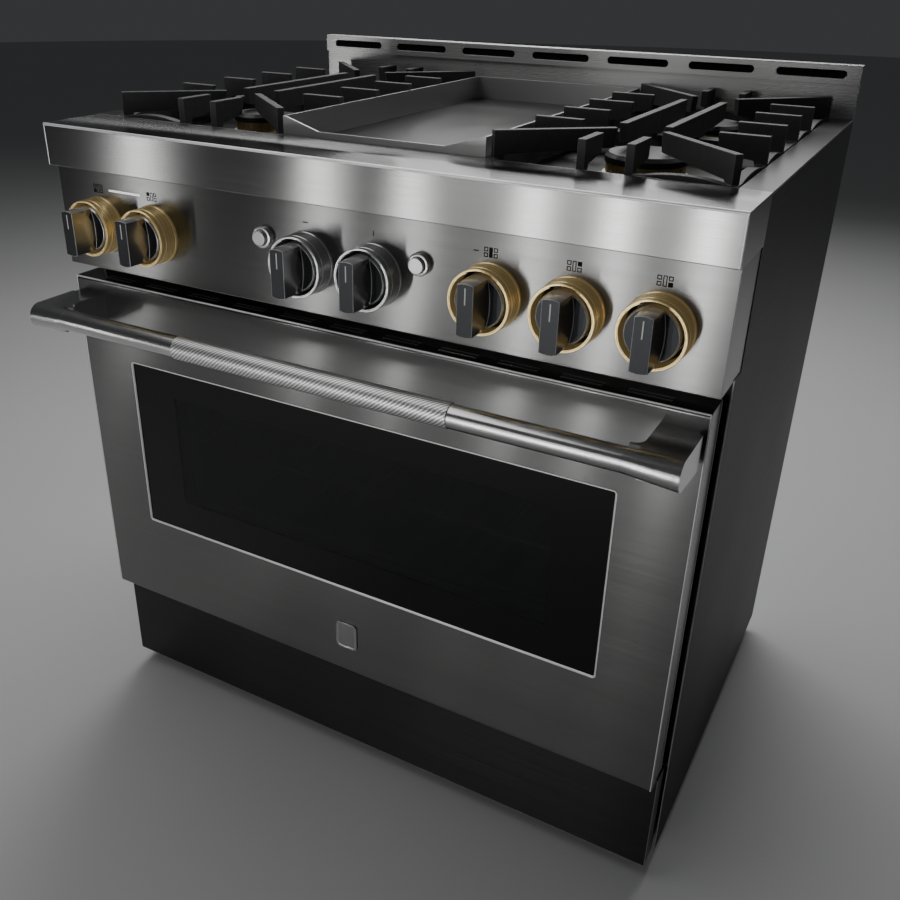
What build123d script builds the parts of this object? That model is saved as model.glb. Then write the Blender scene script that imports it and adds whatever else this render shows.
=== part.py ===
from build123d import *
import os
from math import atan2, degrees, hypot

# A free-standing gas range with four open burners, a centre griddle and one oven.
# X runs across from the centre line, Y runs back from the front edge of the landing ledge,
# Z runs up from the floor. export() moves Y so that the origin is under the middle of the whole range.

# ---------------------------------------------------------------- driving dimensions (mm)
WIDTH = 911.0             # nominal 36 in range, 35 7/8 in across the side panels
LEDGE_Z = 914.0           # landing ledge, nominal 36 in worktop height
GUARD_Z = 987.7           # top of the back guard
BACK_Y = 674.8            # rear face of the back panel and guard
LEG_HEIGHT = 28.0         # levelling legs under the base
SHEET = 1.5               # body sheet steel

PANEL_Y = 13.6            # face of the control panel, set back under the ledge
PANEL_Z = 724.0           # lower edge of the control panel
FASCIA_Z = 860.0          # lower edge of the ledge's front face
CONTROL_BOX_Y = 99.0      # rear of the control box and of the landing ledge
BODY_Y = 70.5             # front edge of the side panels below the control box

DOOR_Y = 12.3             # door's front face
DOOR_REAR_Y = 57.0        # door's rear face
DOOR_HALF = 449.0
DOOR_LOW_Z = 185.0
DOOR_TOP_Z = 706.0
WINDOW_HALF = 362.0
WINDOW_LOW_Z = 328.4
WINDOW_TOP_Z = 591.9
INNER_WINDOW_HALF = 290.0
INNER_WINDOW_LOW_Z = 379.0
INNER_WINDOW_TOP_Z = 550.0
HINGE_Y = 25.0            # door hinge axis
HINGE_Z = 195.0
HINGE_X = 431.0

KICK_Y = 37.2             # toe panel
KICK_HALF = 451.0
KICK_TOP_Z = 181.0

HANDLE_Y = -64.6          # centre of the handle bar
HANDLE_Z = 673.2
HANDLE_R = 14.0
SLEEVE_R = 15.2
SLEEVE_HALF = 193.4
BAR_HALF = 386.0
BRACKET_IN_X = 399.0

CAVITY_HALF = 375.0       # oven cavity, inside
CAVITY_LOW_Z = 262.0
CAVITY_TOP_Z = 672.0
CAVITY_REAR_Y = 560.0
CAVITY_WALL = 3.0
FRAME_REAR_Y = 74.5       # rear of the oven's front frame
INSULATION = 30.0
BURNER_VOID = 24.0        # space for the bake burner under the cavity floor

KNOB_X = [-383.5, -289.0, -47.2, 47.2, 194.5, 289.0, 383.5]
KNOB_NAMES = ["left_front", "left_rear", "oven_mode", "oven_heat", "griddle", "right_rear", "right_front"]
OVEN_KNOBS = ("oven_mode", "oven_heat")
KNOB_Z = 786.0
KNOB_FRONT_Y = -45.0
KNOB_DISC_R = 29.5
BLADE_HALF = 9.5
BEZEL_FRONT_Y = -14.8
BEZEL_R = 37.0
BEZEL_BORE_R = 33.4
STEM_R = 4.0
RUNNING_GAP = 0.05        # radial clearance of a shaft in its hole

BUTTON_X = 109.0
BUTTON_Z = 809.0
BUTTON_R = 9.5
COLLAR_R = 13.5

WELL_HALF = 423.0         # recessed burner well
WELL_FRONT_Y = 101.0
WELL_REAR_Y = 654.0
WELL_FLOOR_Z = 886.0
BURNER_X = 285.0
BURNER_FRONT_Y = 238.0
BURNER_REAR_Y = 517.0
RING_R = 47.0
SIMMER_RING_R = 33.0
RING_LOW_Z = 890.5
RING_TOP_Z = 904.0
CAP_TOP_Z = 915.0

GRATE_IN_X = 143.0
GRATE_OUT_X = 421.0
GRATE_FRONT_Y = 103.0
GRATE_SEAM_Y = 379.0
GRATE_REAR_Y = 651.5
GRATE_TOP_Z = 945.0
FIN_LOW_Z = 923.0
FIN_THICK = 9.0

GRIDDLE_HALF = 138.0
GRIDDLE_WALL_Z = 937.0
GRIDDLE_LIP_Z = 922.0
GRIDDLE_PLATE_Z = 903.0

HALF = WIDTH / 2
SKIN_HALF = HALF - SHEET
HANDLE_FRONT_Y = HANDLE_Y - SLEEVE_R
CENTRE_Y = (HANDLE_FRONT_Y + BACK_Y) / 2


# ---------------------------------------------------------------- shape helpers
def slab(x, y, z):
    """A box between two values on each axis."""
    size = Box(x[1] - x[0], y[1] - y[0], z[1] - z[0])
    return Pos((x[0] + x[1]) / 2, (y[0] + y[1]) / 2, (z[0] + z[1]) / 2) * size


def wide(half, y, z):
    """A box centred across the range."""
    return slab((-half, half), y, z)


def rod_x(x, y, z, radius):
    return Pos((x[0] + x[1]) / 2, y, z) * Rot(0, 90, 0) * Cylinder(radius, x[1] - x[0])


def rod_y(x, y, z, radius):
    return Pos(x, (y[0] + y[1]) / 2, z) * Rot(90, 0, 0) * Cylinder(radius, y[1] - y[0])


def rod_z(x, y, z, radius):
    return Pos(x, y, (z[0] + z[1]) / 2) * Cylinder(radius, z[1] - z[0])


def cut_all(body, tools):
    for tool in tools:
        body = body - tool
    return body


def join_all(first, others):
    for other in others:
        first = first + other
    return first


def side_plate(outline, x):
    """A plate with an outline in Y and Z, between two values of X."""
    face = Plane.YZ * make_face(Polyline(*outline, close=True))
    return Pos(x[0], 0, 0) * extrude(face, x[1] - x[0], dir=(1, 0, 0))


def front_plate(outline, y):
    """A plate with an outline in X and Z, between two values of Y."""
    face = Plane.XZ * make_face(Polyline(*outline, close=True))
    return Pos(0, y[0], 0) * extrude(face, y[1] - y[0], dir=(0, 1, 0))


def edges_along(shape, axis, **near):
    """Edges along an axis whose centres match the given x, y or z values."""
    found = shape.edges().filter_by(axis)
    for name, value in near.items():
        found = [e for e in found if abs(getattr(e.center(), name.upper()) - value) < 0.01]
    return found


def export(node, *shapes):
    """Write one node as a group of separate solids."""
    solids = []
    for shape in shapes:
        solids.extend((Pos(0, -CENTRE_Y, 0) * shape).solids())
    whole = solids[0] if len(solids) == 1 else Compound(children=solids)
    export_step(whole, f"parts/{node}.step")


os.makedirs("parts", exist_ok=True)


# ---------------------------------------------------------------- base and legs
BASE_TOP_Z = 60.0
BASE_SHEET = 2.0
LEG_X = 405.0
LEG_Y = (95.0, 620.0)
LEG_THREAD_R = 6.0
FOOT_R = 24.0


def leg_places():
    return [(x, y) for x in (-LEG_X, LEG_X) for y in LEG_Y]


def make_base():
    outer = wide(KICK_HALF - 2, (FRAME_REAR_Y + 0.5, BACK_Y - SHEET - 0.5), (LEG_HEIGHT, BASE_TOP_Z))
    inner_y = (FRAME_REAR_Y + 0.5 + BASE_SHEET, BACK_Y - SHEET - 0.5 - BASE_SHEET)
    base = outer - wide(KICK_HALF - 2 - BASE_SHEET, inner_y, (LEG_HEIGHT + BASE_SHEET, BASE_TOP_Z + 1))
    for x, y in leg_places():
        base = base + rod_z(x, y, (LEG_HEIGHT, BASE_TOP_Z - 8), LEG_THREAD_R + 8)
        base = base - rod_z(x, y, (LEG_HEIGHT - 1, BASE_TOP_Z), LEG_THREAD_R + RUNNING_GAP)
    return base


def make_leg(x, y):
    foot = rod_z(x, y, (0, 9), FOOT_R)
    foot = chamfer(foot.edges().group_by(Axis.Z)[-1], 3)
    nut = Pos(x, y, 9) * extrude(RegularPolygon(11, 6), 9)
    return foot + nut + rod_z(x, y, (9, BASE_TOP_Z - 10), LEG_THREAD_R)


export("base_frame", make_base())
export("levelling_legs", *[make_leg(x, y) for x, y in leg_places()])


# ---------------------------------------------------------------- body panels
COOKTOP_SHEET_Z = LEDGE_Z - 2.0   # underside of the cooktop's top sheet
INLET_X = 431.0
INLET_Z = 800.0
INLET_R = 10.4                    # half-inch male pipe thread
SIDE_OUTLINE = [(BODY_Y, LEG_HEIGHT), (BACK_Y - SHEET, LEG_HEIGHT), (BACK_Y - SHEET, COOKTOP_SHEET_Z),
                (CONTROL_BOX_Y, COOKTOP_SHEET_Z), (CONTROL_BOX_Y, PANEL_Z), (BODY_Y, PANEL_Z)]

export("side_panel_left", side_plate(SIDE_OUTLINE, (-HALF, -SKIN_HALF)))
export("side_panel_right", side_plate(SIDE_OUTLINE, (SKIN_HALF, HALF)))


def make_back_panel():
    panel = wide(HALF, (BACK_Y - SHEET, BACK_Y), (LEG_HEIGHT, COOKTOP_SHEET_Z))
    panel = panel - rod_y(INLET_X, (BACK_Y - 5, BACK_Y + 5), INLET_Z, INLET_R + 4)
    for row in range(3):
        for column in range(8):
            slot = SlotOverall(70, 7)
            place = Plane.XZ * Pos(-315 + 90 * column, 120 + 24 * row)
            panel = panel - Pos(0, BACK_Y + 5, 0) * extrude(place * slot, 12, dir=(0, -1, 0))
    return panel


def make_kick_panel():
    outer = wide(KICK_HALF, (KICK_Y, BODY_Y), (LEG_HEIGHT, KICK_TOP_Z))
    inner = wide(KICK_HALF - SHEET, (KICK_Y + SHEET, BODY_Y + 1), (LEG_HEIGHT - 1, KICK_TOP_Z - SHEET))
    return outer - inner


export("back_panel", make_back_panel())
export("kick_panel", make_kick_panel())


# ---------------------------------------------------------------- landing ledge and control panel
def make_fascia():
    outer = wide(HALF, (0, CONTROL_BOX_Y), (FASCIA_Z, LEDGE_Z))
    outer = fillet(edges_along(outer, Axis.X, y=0, z=LEDGE_Z), 2.2)
    outer = fillet(edges_along(outer, Axis.X, y=0, z=FASCIA_Z), 1.2)
    inner = wide(SKIN_HALF, (SHEET, CONTROL_BOX_Y + 1), (FASCIA_Z + SHEET, LEDGE_Z - SHEET))
    floor = wide(SKIN_HALF, (PANEL_Y + SHEET, CONTROL_BOX_Y + 1), (FASCIA_Z - 1, FASCIA_Z + SHEET + 1))
    return outer - inner - floor


def make_control_panel():
    outer = wide(HALF - 1, (PANEL_Y, CONTROL_BOX_Y), (PANEL_Z, FASCIA_Z))
    inner = wide(HALF - 1 - SHEET, (PANEL_Y + SHEET, CONTROL_BOX_Y + 1), (PANEL_Z + SHEET, FASCIA_Z + 1))
    panel = outer - inner
    for x in KNOB_X:
        panel = panel - rod_y(x, (PANEL_Y - 1, PANEL_Y + 4), KNOB_Z, STEM_R + 1.0)
    for x in (-BUTTON_X, BUTTON_X):
        panel = panel - rod_y(x, (PANEL_Y - 1, PANEL_Y + 4), BUTTON_Z, BUTTON_R - 3.0)
    return panel


export("front_fascia", make_fascia())
export("control_panel", make_control_panel())


# ---------------------------------------------------------------- cooktop and back guard
GRIDDLE_OPENING_Y = (126.0, 632.0)


def burner_places():
    """Name, x, y and port ring radius of each open burner."""
    return [("front_left", -BURNER_X, BURNER_FRONT_Y, SIMMER_RING_R),
            ("front_right", BURNER_X, BURNER_FRONT_Y, RING_R),
            ("rear_left", -BURNER_X, BURNER_REAR_Y, RING_R),
            ("rear_right", BURNER_X, BURNER_REAR_Y, RING_R)]


def make_cooktop():
    wall = 2.0
    top = wide(HALF, (CONTROL_BOX_Y, BACK_Y - SHEET), (COOKTOP_SHEET_Z, LEDGE_Z))
    tray = wide(WELL_HALF + wall, (CONTROL_BOX_Y, WELL_REAR_Y + wall), (WELL_FLOOR_Z - wall, LEDGE_Z))
    pan = top + tray - wide(WELL_HALF, (WELL_FRONT_Y, WELL_REAR_Y), (WELL_FLOOR_Z, LEDGE_Z + 1))
    pan = pan - wide(GRIDDLE_HALF - 6, GRIDDLE_OPENING_Y, (WELL_FLOOR_Z - 5, WELL_FLOOR_Z + 1))
    for name, x, y, ring_r in burner_places():
        pan = pan - rod_z(x, y, (WELL_FLOOR_Z - 5, WELL_FLOOR_Z + 1), 16)
    return pan


RISER_Y = 664.6
RISER_TOP_Z = 961.0
CAP_Y = 659.8
FLUE_Y = (667.5, 672.0)
SLOT_PITCH = 129.2
SLOT_LENGTH = 97.5
SLOT_HEIGHT = 11.0
SLOT_Z = 974.5


def make_riser():
    outer = wide(HALF, (RISER_Y, BACK_Y), (LEDGE_Z, RISER_TOP_Z))
    inner = wide(SKIN_HALF, (RISER_Y + SHEET, BACK_Y - SHEET), (LEDGE_Z - 1, RISER_TOP_Z - SHEET))
    flue = wide(SKIN_HALF - 14, FLUE_Y, (RISER_TOP_Z - 5, RISER_TOP_Z + 5))
    return outer - inner - flue


def make_guard_cap():
    outer = wide(HALF, (CAP_Y, BACK_Y), (RISER_TOP_Z, GUARD_Z))
    outer = fillet(edges_along(outer, Axis.X, y=CAP_Y, z=GUARD_Z), 1.2)
    cap = outer - wide(SKIN_HALF, (CAP_Y + SHEET, BACK_Y - SHEET), (RISER_TOP_Z + SHEET, GUARD_Z - SHEET))
    cap = cap - wide(SKIN_HALF - 14, FLUE_Y, (RISER_TOP_Z - 1, RISER_TOP_Z + 3))
    for step in range(-3, 4):
        place = Plane.XZ * Pos(step * SLOT_PITCH, SLOT_Z)
        slot = extrude(place * SlotOverall(SLOT_LENGTH, SLOT_HEIGHT), 10, dir=(0, -1, 0))
        cap = cap - Pos(0, CAP_Y + 5, 0) * slot
    return cap


export("cooktop_pan", make_cooktop())
export("backguard_riser", make_riser())
export("backguard_cap", make_guard_cap())


# ---------------------------------------------------------------- oven body
FAN_Z = 467.0
FAN_SHAFT_R = 4.0
MOTOR_R = 34.0


def make_front_frame():
    frame = wide(SKIN_HALF, (BODY_Y, FRAME_REAR_Y), (KICK_TOP_Z, PANEL_Z))
    return frame - wide(CAVITY_HALF, (BODY_Y - 1, FRAME_REAR_Y + 1), (CAVITY_LOW_Z, CAVITY_TOP_Z))


def make_cavity():
    wall = CAVITY_WALL
    cavity = wide(CAVITY_HALF + wall, (FRAME_REAR_Y, CAVITY_REAR_Y + wall), (CAVITY_LOW_Z - wall, CAVITY_TOP_Z + wall))
    cavity = cavity - wide(CAVITY_HALF, (FRAME_REAR_Y - 1, CAVITY_REAR_Y), (CAVITY_LOW_Z, CAVITY_TOP_Z))
    cavity = cavity - rod_y(0, (CAVITY_REAR_Y - 1, CAVITY_REAR_Y + wall + 1), FAN_Z, FAN_SHAFT_R + 2)
    for x in (-300, -150, 150, 300):
        for y in (170, 300, 430):
            cavity = cavity - slab((x - 30, x + 30), (y - 3, y + 3), (CAVITY_LOW_Z - wall - 1, CAVITY_LOW_Z + 1))
    return cavity


def make_insulation():
    side = CAVITY_HALF + CAVITY_WALL
    low = CAVITY_LOW_Z - CAVITY_WALL - BURNER_VOID
    top = CAVITY_TOP_Z + CAVITY_WALL
    rear = CAVITY_REAR_Y + CAVITY_WALL
    blanket = wide(side + INSULATION, (FRAME_REAR_Y + 6, rear + INSULATION), (low - INSULATION, top + INSULATION))
    blanket = blanket - wide(side, (FRAME_REAR_Y, rear), (low, top))
    return blanket - rod_y(0, (rear - 1, rear + INSULATION + 1), FAN_Z, MOTOR_R + 3)


def make_gasket():
    y = (DOOR_REAR_Y + 0.3, BODY_Y)
    ring = wide(402, y, (235, 699))
    ring = fillet(ring.edges().filter_by(Axis.Y), 22)
    hole = wide(388, (y[0] - 1, y[1] + 1), (249, 685))
    hole = fillet(hole.edges().filter_by(Axis.Y), 10)
    return ring - hole


export("oven_front_frame", make_front_frame())
export("oven_cavity", make_cavity())
export("oven_insulation", make_insulation())
export("door_gasket", make_gasket())


# ---------------------------------------------------------------- racks and their side guides
RACK_LEVELS = {"oven_rack_lower": 350.0, "oven_rack_middle": 435.0, "oven_rack_upper": 520.0}
GUIDE_LEVELS = (350.0, 392.5, 435.0, 477.5, 520.0, 562.5)
RACK_HALF = 355.0
RACK_Y = (96.0, 516.0)
RACK_FRAME_R = 3.5
RACK_WIRE_R = 2.0
RACK_WIRES = 21


def make_rack(level):
    rods = [rod_x((-RACK_HALF, RACK_HALF), y, level, RACK_FRAME_R) for y in RACK_Y]
    rods += [rod_x((-RACK_HALF + 8, RACK_HALF - 8), y, level - RACK_WIRE_R, 2.5) for y in (240.0, 380.0)]
    rods += [rod_y(x, RACK_Y, level, RACK_FRAME_R) for x in (-RACK_HALF, RACK_HALF)]
    rods += [Pos(x, y, level) * Sphere(RACK_FRAME_R) for x in (-RACK_HALF, RACK_HALF) for y in RACK_Y]
    pitch = 2 * RACK_HALF / (RACK_WIRES + 1)
    rods += [rod_y(-RACK_HALF + pitch * (n + 1), RACK_Y, level + 1.0, RACK_WIRE_R) for n in range(RACK_WIRES)]
    return join_all(rods[0], rods[1:])


def make_guide(side):
    """Side ladder: rails under each rack level, tied by three upright straps on the cavity wall."""
    bars = []
    for y in (140.0, 330.0, 520.0):
        bars.append(slab((CAVITY_HALF - 3, CAVITY_HALF), (y - 8, y + 8), (320, 590)))
    for level in GUIDE_LEVELS:
        top = level - RACK_FRAME_R - 0.4
        bars.append(slab((354, CAVITY_HALF - 2), (100, 556), (top - 3, top)))
    guide = join_all(bars[0], bars[1:])
    return guide if side > 0 else mirror(guide, about=Plane.YZ)


for rack_name, rack_level in RACK_LEVELS.items():
    export(rack_name, make_rack(rack_level))
export("rack_guides", make_guide(-1), make_guide(1))


# ---------------------------------------------------------------- oven burners and fan
def make_bake_burner():
    z = CAVITY_LOW_Z - CAVITY_WALL - BURNER_VOID + 10
    tubes = [rod_y(x, (130, 480), z, 9) for x in (-150, 150)]
    tubes.append(rod_x((-150, 150), 480, z, 8))
    tubes += [Pos(x, 480, z) * Sphere(9.5) for x in (-150, 150)]
    tubes.append(rod_y(0, (480, 556), z, 7))
    tubes += [slab((x - 12, x + 12), (y - 10, y + 10), (z - 10, z)) for x in (-150, 150) for y in (150, 450)]
    return join_all(tubes[0], tubes[1:])


def make_broil_burner():
    body = wide(190, (170, 440), (650, CAVITY_TOP_Z))
    body = body - wide(182, (178, 432), (649, 654))
    for step in range(-4, 5):
        body = body + slab((step * 40 - 2, step * 40 + 2), (178, 432), (650, 654))
    return body


FAN_R = 72.0
FAN_Y = (536.0, 554.0)


def make_fan_blade():
    hub = rod_y(0, FAN_Y, FAN_Z, 14) + rod_y(0, (FAN_Y[1], 592), FAN_Z, FAN_SHAFT_R)
    disc = rod_y(0, (FAN_Y[1] - 2, FAN_Y[1]), FAN_Z, FAN_R)
    fan = hub + disc
    for step in range(8):
        blade = slab((20, FAN_R - 2), (FAN_Y[0], FAN_Y[1]), (-1, 1))
        fan = fan + Pos(0, 0, FAN_Z) * Rot(0, step * 45, 0) * Rot(0, 14, 0) * blade
    return fan


def make_fan_motor():
    rear = CAVITY_REAR_Y + CAVITY_WALL
    motor = rod_y(0, (rear, rear + 62), FAN_Z, MOTOR_R)
    motor = fillet(motor.edges().group_by(Axis.Y)[-1], 4)
    return motor - rod_y(0, (rear - 1, rear + 40), FAN_Z, FAN_SHAFT_R + RUNNING_GAP)


def make_fan_cover():
    y = (526.0, CAVITY_REAR_Y)
    cover = wide(105, y, (FAN_Z - 105, FAN_Z + 105))
    cover = fillet(cover.edges().group_by(Axis.Y)[0], 6)
    cover = cover - wide(103, (y[0] + 2, y[1] + 1), (FAN_Z - 103, FAN_Z + 103))
    for step in range(-6, 7):
        x = step * 9.0
        reach = (62.0 ** 2 - x ** 2) ** 0.5
        cover = cover - slab((x - 2.2, x + 2.2), (y[0] - 1, y[0] + 3), (FAN_Z - reach, FAN_Z + reach))
    return cover


export("bake_burner", make_bake_burner())
export("broil_burner", make_broil_burner())
export("fan_blade", make_fan_blade())
export("fan_motor", make_fan_motor())
export("fan_cover", make_fan_cover())


# ---------------------------------------------------------------- oven door
LINER_Y = 54.0            # joint between the door skin and the rear liner
NOTCH_HALF = 7.0          # half width of the hinge arm's slot
NOTCH_TOP_Z = 207.0
ARM_HALF = 5.0
ARM_R = 7.0
PIN_R = 4.0
GLASS_Y = (14.5, 18.5)
INNER_GLASS_Y = (46.0, 50.0)


def hinge_notches():
    return [slab((x - NOTCH_HALF, x + NOTCH_HALF), (16.0, DOOR_REAR_Y + 1), (DOOR_LOW_Z - 1, NOTCH_TOP_Z))
            for x in (-HINGE_X, HINGE_X)]


def make_door_skin():
    skin = wide(DOOR_HALF, (DOOR_Y, LINER_Y), (DOOR_LOW_Z, DOOR_TOP_Z))
    skin = fillet(edges_along(skin, Axis.X, y=DOOR_Y, z=DOOR_TOP_Z), 5.0)
    skin = fillet(edges_along(skin, Axis.X, y=DOOR_Y, z=DOOR_LOW_Z), 3.0)
    skin = skin - wide(DOOR_HALF - SHEET, (DOOR_Y + 2, LINER_Y + 1), (DOOR_LOW_Z + SHEET, DOOR_TOP_Z - SHEET))
    window = wide(WINDOW_HALF, (DOOR_Y - 1, DOOR_Y + 3), (WINDOW_LOW_Z, WINDOW_TOP_Z))
    skin = skin - fillet(window.edges().filter_by(Axis.Y), 5.0)
    for step in range(-5, 6):
        for y in (25.0, 33.0):
            vent = slab((step * 76 - 24, step * 76 + 24), (y - 1.5, y + 1.5), (DOOR_TOP_Z - 4, DOOR_TOP_Z + 1))
            skin = skin - vent
    return cut_all(skin, hinge_notches())


def make_door_liner():
    """Rear pan with a glass tunnel round the window and cheeks for the hinge pins."""
    liner = wide(DOOR_HALF, (LINER_Y, DOOR_REAR_Y), (DOOR_LOW_Z, DOOR_TOP_Z))
    tunnel_z = (INNER_WINDOW_LOW_Z - 12, INNER_WINDOW_TOP_Z + 12)
    liner = liner + wide(INNER_WINDOW_HALF + 12, (GLASS_Y[1] + 0.2, LINER_Y), tunnel_z)
    liner = liner - wide(INNER_WINDOW_HALF, (0, DOOR_REAR_Y + 1), (INNER_WINDOW_LOW_Z, INNER_WINDOW_TOP_Z))
    pocket_z = (INNER_WINDOW_LOW_Z - 10, INNER_WINDOW_TOP_Z + 10)
    liner = liner - wide(INNER_WINDOW_HALF + 10, (GLASS_Y[1], INNER_GLASS_Y[1]), pocket_z)
    cheek_y = (DOOR_Y + 3, LINER_Y)
    cheek_z = (DOOR_LOW_Z + SHEET, 215.0)
    for side in (-1, 1):
        for low, high in ((410.0, HINGE_X - NOTCH_HALF), (HINGE_X + NOTCH_HALF, DOOR_HALF - SHEET)):
            x = sorted((side * low, side * high))
            liner = liner + slab(x, cheek_y, cheek_z)
        bore_x = sorted((side * (HINGE_X - 14), side * (HINGE_X + 13)))
        liner = liner - rod_x(bore_x, HINGE_Y, HINGE_Z, PIN_R + RUNNING_GAP)
    return cut_all(liner, hinge_notches())


def make_hinge(side):
    """Fixed hinge arm on the oven's front frame, with its pin through the eye."""
    x = side * HINGE_X
    arm = slab((x - ARM_HALF, x + ARM_HALF), (HINGE_Y, BODY_Y), (HINGE_Z - ARM_R, HINGE_Z + ARM_R))
    eye = rod_x((x - ARM_HALF, x + ARM_HALF), HINGE_Y, HINGE_Z, ARM_R)
    plate = slab((x - 14, x + 14), (BODY_Y - 3, BODY_Y), (HINGE_Z - ARM_R, HINGE_Z + 30))
    pin = rod_x((x - 12, x + 12), HINGE_Y, HINGE_Z, PIN_R)
    return arm + eye + plate + pin


glass_z = (WINDOW_LOW_Z - 8, WINDOW_TOP_Z + 8)
inner_glass_z = (INNER_WINDOW_LOW_Z - 9.5, INNER_WINDOW_TOP_Z + 9.5)
export("door_skin", make_door_skin())
export("door_liner", make_door_liner())
export("door_outer_glass", wide(WINDOW_HALF + 10, GLASS_Y, glass_z))
export("door_inner_glass", wide(INNER_WINDOW_HALF + 9.5, INNER_GLASS_Y, inner_glass_z))
export("door_hinges", make_hinge(-1), make_hinge(1))


# ---------------------------------------------------------------- door handle
BRACKET_OUT_X = 445.5
BRACKET_TOP_Z = HANDLE_Z + HANDLE_R - 0.2
BRACKET_END_R = 17.5      # the casting is heavier at its outer end
BRACKET_LOW_Z = 646.0
NECK_X = 441.0
NECK_Y = 0.0
WEB_R = 12.5


def make_sleeve():
    sleeve = rod_x((-SLEEVE_HALF, SLEEVE_HALF), HANDLE_Y, HANDLE_Z, SLEEVE_R)
    sleeve = chamfer(sleeve.edges().filter_by(GeomType.CIRCLE), 0.8)
    return sleeve - rod_x((-SLEEVE_HALF - 1, SLEEVE_HALF + 1), HANDLE_Y, HANDLE_Z, HANDLE_R + RUNNING_GAP)


def make_bracket():
    """Right-hand cast end: a tapered end to the bar, an arm back towards the door and a narrower neck."""
    grown = BRACKET_END_R - HANDLE_R
    seam = Plane.YZ * Pos(HANDLE_Y, HANDLE_Z) * Circle(HANDLE_R)
    outer = Plane.YZ * Pos(HANDLE_Y + grown, HANDLE_Z - grown) * Circle(BRACKET_END_R)
    end = loft([Pos(BAR_HALF, 0, 0) * seam, Pos(BRACKET_OUT_X, 0, 0) * outer])
    arm = side_plate([(HANDLE_Y + grown, BRACKET_TOP_Z), (NECK_Y, BRACKET_TOP_Z), (NECK_Y, BRACKET_LOW_Z),
                      (HANDLE_Y + grown, HANDLE_Z - grown - BRACKET_END_R + 0.2)], (BRACKET_IN_X, BRACKET_OUT_X))
    neck = slab((BRACKET_IN_X, NECK_X), (NECK_Y - 4, DOOR_Y), (BRACKET_LOW_Z + 2, BRACKET_TOP_Z))
    root_y = HANDLE_Y + HANDLE_R - 4
    web = slab((BRACKET_IN_X - WEB_R, BRACKET_IN_X + 1), (root_y, root_y + WEB_R + 4), (662.0, BRACKET_TOP_Z))
    web = web - rod_z(BRACKET_IN_X - WEB_R, root_y + WEB_R + 4, (660, 700), WEB_R)
    return end + arm + neck + web


export("handle_bar", rod_x((-BAR_HALF, BAR_HALF), HANDLE_Y, HANDLE_Z, HANDLE_R))
export("handle_sleeve", make_sleeve())
export("handle_brackets", mirror(make_bracket(), about=Plane.YZ), make_bracket())


# ---------------------------------------------------------------- knobs, bezels, stems and valves
KNOB_BACK_Y = PANEL_Y - 6.0
DISC_FRONT_Y = -13.0
STEM_FRONT_Y = -25.0
STEM_REAR_Y = 52.0
FLARE = 4.0               # how far each side of the blade spreads at its foot
VALVE_Y = (PANEL_Y + SHEET + 3, 62.0)


def make_knob(x):
    """A turned body with both sides scooped away, which leaves a tall grip blade."""
    disc = rod_y(x, (DISC_FRONT_Y, KNOB_BACK_Y), KNOB_Z, KNOB_DISC_R)
    disc = chamfer(disc.edges().group_by(Axis.Y)[0], 1.5)
    barrel = rod_y(x, (KNOB_FRONT_Y, DISC_FRONT_Y), KNOB_Z, KNOB_DISC_R)
    keep = slab((x - BLADE_HALF, x + BLADE_HALF), (KNOB_FRONT_Y, DISC_FRONT_Y + 1), (KNOB_Z - 40, KNOB_Z + 40))
    blade = barrel & (keep + flared_side(x, -1) + flared_side(x, 1))
    knob = disc + blade
    return knob - rod_y(x, (STEM_FRONT_Y - 0.3, KNOB_BACK_Y + 1), KNOB_Z, STEM_R + RUNNING_GAP)


def flared_side(x, side):
    """One hollow flank of the blade, which spreads at its foot and most of all half way up."""
    depth = DISC_FRONT_Y - KNOB_FRONT_Y
    hollow_r = (depth ** 2 + FLARE ** 2) / (2 * FLARE)
    bulge_r = (KNOB_DISC_R ** 2 + FLARE ** 2) / (2 * FLARE)
    foot = BLADE_HALF + FLARE
    across = sorted((x, x + side * foot))
    tall = (KNOB_Z - KNOB_DISC_R, KNOB_Z + KNOB_DISC_R)
    flank = slab(across, (KNOB_FRONT_Y, DISC_FRONT_Y + 1), tall)
    flank = flank - rod_z(x + side * (BLADE_HALF + hollow_r), KNOB_FRONT_Y, (tall[0] - 1, tall[1] + 1), hollow_r)
    return flank & rod_y(x + side * (foot - bulge_r), (KNOB_FRONT_Y - 1, DISC_FRONT_Y + 2), KNOB_Z, bulge_r)


def make_bezel(x):
    """Stepped ring round the knob, with a raised band over the top."""
    flange = rod_y(x, (PANEL_Y - 2, PANEL_Y), KNOB_Z, BEZEL_R + 1)
    ring = rod_y(x, (BEZEL_FRONT_Y, PANEL_Y - 2), KNOB_Z, BEZEL_R)
    ring = fillet(ring.edges().group_by(Axis.Y)[0], 1.2)
    bore = rod_y(x, (BEZEL_FRONT_Y - 1, PANEL_Y + 1), KNOB_Z, BEZEL_BORE_R)
    return flange + ring - bore


def make_stem(x):
    return rod_y(x, (STEM_FRONT_Y, STEM_REAR_Y), KNOB_Z, STEM_R)


def make_valve(x):
    body = slab((x - 15, x + 15), VALVE_Y, (KNOB_Z - 16, KNOB_Z + 16))
    body = body + rod_y(x, (VALVE_Y[1] - 1, VALVE_Y[1] + 8), KNOB_Z, 12)
    return body - rod_y(x, (VALVE_Y[0] - 1, STEM_REAR_Y + 4.5), KNOB_Z, STEM_R + RUNNING_GAP)


def make_switch(x):
    """Rotary oven control with its own fixed spindle."""
    body = rod_y(x, (VALVE_Y[0], VALVE_Y[1] - 14), KNOB_Z, 19)
    return body + rod_y(x, (STEM_FRONT_Y, VALVE_Y[0] + 1), KNOB_Z, STEM_R)


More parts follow.
